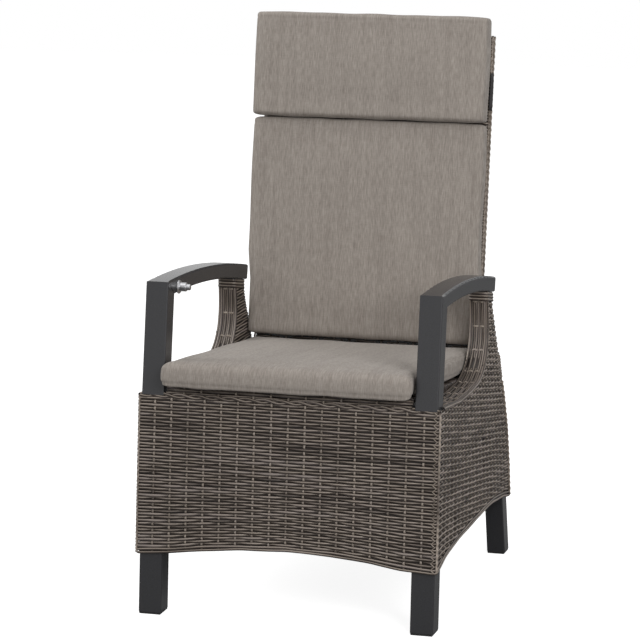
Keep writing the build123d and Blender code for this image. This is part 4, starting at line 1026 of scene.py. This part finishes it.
def points_of(mesh, layer="co"):
    """The points of a mesh, or with layer="normal" its normals there."""
    values = np.empty(len(mesh.vertices) * 3)
    mesh.vertices.foreach_get(layer, values)
    return values.reshape(-1, 3)


def set_points(mesh, points):
    mesh.vertices.foreach_set("co", np.asarray(points, np.float32).ravel())
    mesh.update()


def inward(points):
    """How far each point of a cushion lies inside its outline, seen from above."""
    low, high = points.min(0)[:2], points.max(0)[:2]
    return np.minimum(points[:, :2] - low, high - points[:, :2]).min(1)


def stuffed(obj, pressure, cap, hem):
    """Remeshes a cushion and lets cloth swell on it. Its sewn edges hold still, over the width of the
    hem, and no point moves further than the cap."""
    remesh = obj.modifiers.new("remesh", "REMESH")
    remesh.mode, remesh.voxel_size = "VOXEL", 0.0055
    applied(obj)
    start = points_of(obj.data)
    held = np.clip(1 - inward(start) / hem, 0, 1) ** 0.5
    group = obj.vertex_groups.new(name="sewn_edge")
    for index in np.flatnonzero(held > 0.02):
        group.add([int(index)], float(held[index]), "REPLACE")
    cloth = obj.modifiers.new("cloth", "CLOTH")
    settings = cloth.settings
    settings.vertex_group_mass = group.name
    settings.use_pressure = True
    settings.uniform_pressure_force = pressure
    settings.effector_weights.gravity = 0
    settings.quality = 5
    cloth.point_cache.frame_start, cloth.point_cache.frame_end = 1, 20
    scene = bpy.context.scene
    for number in range(1, 21):
        scene.frame_set(number)
    applied(obj)
    scene.frame_set(1)
    moved = points_of(obj.data) - start
    far = np.linalg.norm(moved, axis=1, keepdims=True)
    set_points(obj.data, start + moved * np.minimum(1, cap / np.maximum(far, 1e-9)))


def fitted(obj, half, length, thick):
    """Flattens the side that it rests on, and brings the swollen cushion to its sewn size."""
    points = points_of(obj.data)
    points[:, 2] = np.maximum(points[:, 2], 0)
    low, high = points.min(0), points.max(0)
    points[:, 0] *= 2 * half / (high[0] - low[0])
    points[:, 1] = (points[:, 1] - low[1]) * length / (high[1] - low[1])
    points[:, 2] = (points[:, 2] - low[2]) * thick / (high[2] - low[2])
    set_points(obj.data, points)


def subdivided(obj):
    smooth_step = obj.modifiers.new("subdivide", "SUBSURF")
    smooth_step.levels = smooth_step.render_levels = 1
    applied(obj)


def rumpled(obj, height):
    """Lets a filled cover lie a little unevenly: low swells 80 to 200 mm long."""
    points = points_of(obj.data)
    x, y = points[:, 0], points[:, 1]
    swell = np.sin(41 * x + 1.3) * np.sin(29 * y + 0.7) + 0.7 * np.sin(67 * x - 23 * y)
    set_points(obj.data, points + points_of(obj.data, "normal") * (height * swell)[:, None])


def stitched(obj, distance, depth=0.0016, width=0.0026):
    """Draws a seam in: the points near its line sink along their normals."""
    points = points_of(obj.data)
    sink = depth * np.exp(-(distance(points) / width) ** 2)
    set_points(obj.data, points - points_of(obj.data, "normal") * sink[:, None])


def covered(obj, start, turn, place, colours):
    """Puts a cushion made lying flat into its place on the seat or back, and gives it its cloth."""
    origin = Vector(in_frame(tilted(start, *place)))
    obj.matrix_world = Matrix.Translation(origin) @ Matrix.Rotation(place[1] + turn, 4, "X")
    obj.data.materials.clear()
    obj.data.materials.append(shared("outdoor_cloth", cushion_cloth, colours))


class ARMCHAIR_OT_seat_cushion(bpy.types.Operator):
    """Loose seat cushion, a thick foam pad in a sewn cloth cover"""
    bl_idname = "armchair.seat_cushion"
    bl_label = "Seat cushion"

    def execute(self, context):
        half, long, thick, seam, overhang = 0.2435, 0.579, 0.051, 0.011, 0.032
        cushion = pillow_mesh("padded_seat", half, long, 0.047, 0.014, 0.016)
        stuffed(cushion, 3, 0.004, 0.035)
        fitted(cushion, half, long, thick)
        subdivided(cushion)
        rumpled(cushion, 0.0005)
        # seam of the boxing, 11 mm above the lower face
        stitched(cushion, lambda p: np.where(inward(p) < 0.012, np.abs(p[:, 2] - seam), 1))
        points = points_of(cushion.data)
        # its front corners swell round the armrest posts, and its front edge hangs over the nose
        ahead = np.clip(1 - points[:, 1] / overhang, 0, 1)
        points[:, 0] *= 1 + 0.042 * ahead ** 0.5
        points[:, 2] -= ahead * (0.0025 + 0.006 * np.clip(1 - points[:, 2] / 0.05, 0, 1))
        set_points(cushion.data, points)
        covered(cushion, (0, -33.2, 0.8), 0, SEAT, context.scene.armchair_colours)
        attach(cushion, "base")
        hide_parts("seat_cushion")
        return {"FINISHED"}


class ARMCHAIR_OT_back_cushions(bpy.types.Operator):
    """Back cushion and head cushion, which lie on the front of the woven back"""
    bl_idname = "armchair.back_cushions"
    bl_label = "Back cushions"

    def execute(self, context):
        half = 0.244
        for name, node, low, high, thick, roll in (
                ("padded_back", "back_cushion", 46, 497.5, 48, 13),
                ("padded_head", "head_cushion", 498.5, 714.5, 64, 24)):
            long, deep = (high - low) / 1000, thick / 1000
            pad = pillow_mesh(name, half, long, deep - 0.003, 0.005, roll / 1000)
            stuffed(pad, 3, 0.005, 0.045)
            fitted(pad, half, long, deep)
            subdivided(pad)
            rumpled(pad, 0.0006)
            points = points_of(pad.data)
            # above the pillars it is free to spread
            free = np.clip((points[:, 1] * 1000 + low - 160) / 60, 0, 1)
            points[:, 0] += free * (0.008 * points[:, 0] - 0.005)
            set_points(pad.data, points)
            # seam of the boxing along its top edge
            stitched(pad, lambda p: np.where(p[:, 2] > deep / 2, np.abs(long - p[:, 1] - 0.014), 1),
                     0.0007, 0.002)
            covered(pad, (0, -13.6, low), math.pi / 2, BACK, context.scene.armchair_colours)
            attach(pad, "backrest")
            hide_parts(node)
        return {"FINISHED"}


class ARMCHAIR_OT_strap(bpy.types.Operator):
    """Elastic strap that holds the head cushion, round the woven back"""
    bl_idname = "armchair.strap"
    bl_label = "Strap"

    def execute(self, context):
        half, depth, front, height, width, thick = 240.5, 14, -16, 565, 76, 1.4
        # it stands off a little where it turns the edges of the back
        slack = half + 4
        corners = np.array([(-half, front), (-slack, -4), (-half, depth), (half, depth), (slack, -4),
                            (half, front)], float)
        path = [corners[:1]]
        for a, b in zip(corners[:-1], corners[1:]):
            count = max(1, int(math.dist(a, b) / 5))
            path.append(a + (b - a) * np.arange(1, count + 1)[:, None] / count)
        path = smooth(np.concatenate(path), False, 2)
        flat = points_at(path[:, 0], path[:, 1], height)
        out = unit(np.cross(np.gradient(flat, axis=0), np.array([0, 0, -1.0])))
        strands = Strands()
        strands.add(tilted(flat, *BACK), leant(out, BACK), width, thick)
        strap = strands.make("head_strap", elastic_webbing(context.scene.armchair_colours))
        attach(strap, "backrest")
        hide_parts("cushion_strap")
        return {"FINISHED"}


OPERATORS = (ARMCHAIR_OT_camera, ARMCHAIR_OT_stage, ARMCHAIR_OT_frame_paint, ARMCHAIR_OT_fittings,
             ARMCHAIR_OT_woven_base, ARMCHAIR_OT_woven_edges, ARMCHAIR_OT_woven_back,
             ARMCHAIR_OT_woven_seat, ARMCHAIR_OT_seat_cushion, ARMCHAIR_OT_back_cushions,
             ARMCHAIR_OT_strap)


class ARMCHAIR_PT_panel(bpy.types.Panel):
    """Sizes, colours and building steps of the armchair"""
    bl_idname = "ARMCHAIR_PT_panel"
    bl_label = "Armchair"
    bl_space_type = "VIEW_3D"
    bl_region_type = "UI"
    bl_category = "Armchair"

    def draw(self, context):
        for group in (context.scene.armchair_sizes, context.scene.armchair_colours):
            column = self.layout.column(align=True)
            for name in group.__annotations__:
                column.prop(group, name)
        for operator in OPERATORS:
            self.layout.operator(operator.bl_idname)


CLASSES = (ArmchairSizes, ArmchairColours, *OPERATORS, ARMCHAIR_PT_panel)


def register():
    for item in CLASSES:
        bpy.utils.register_class(item)
    bpy.types.Scene.armchair_sizes = PointerProperty(type=ArmchairSizes)
    bpy.types.Scene.armchair_colours = PointerProperty(type=ArmchairColours)


def unregister():
    del bpy.types.Scene.armchair_sizes
    del bpy.types.Scene.armchair_colours
    for item in reversed(CLASSES):
        bpy.utils.unregister_class(item)


def main():
    register()
    for operator in OPERATORS:
        getattr(bpy.ops.armchair, operator.bl_idname.split(".")[1])()


if __name__ == "__main__":
    main()
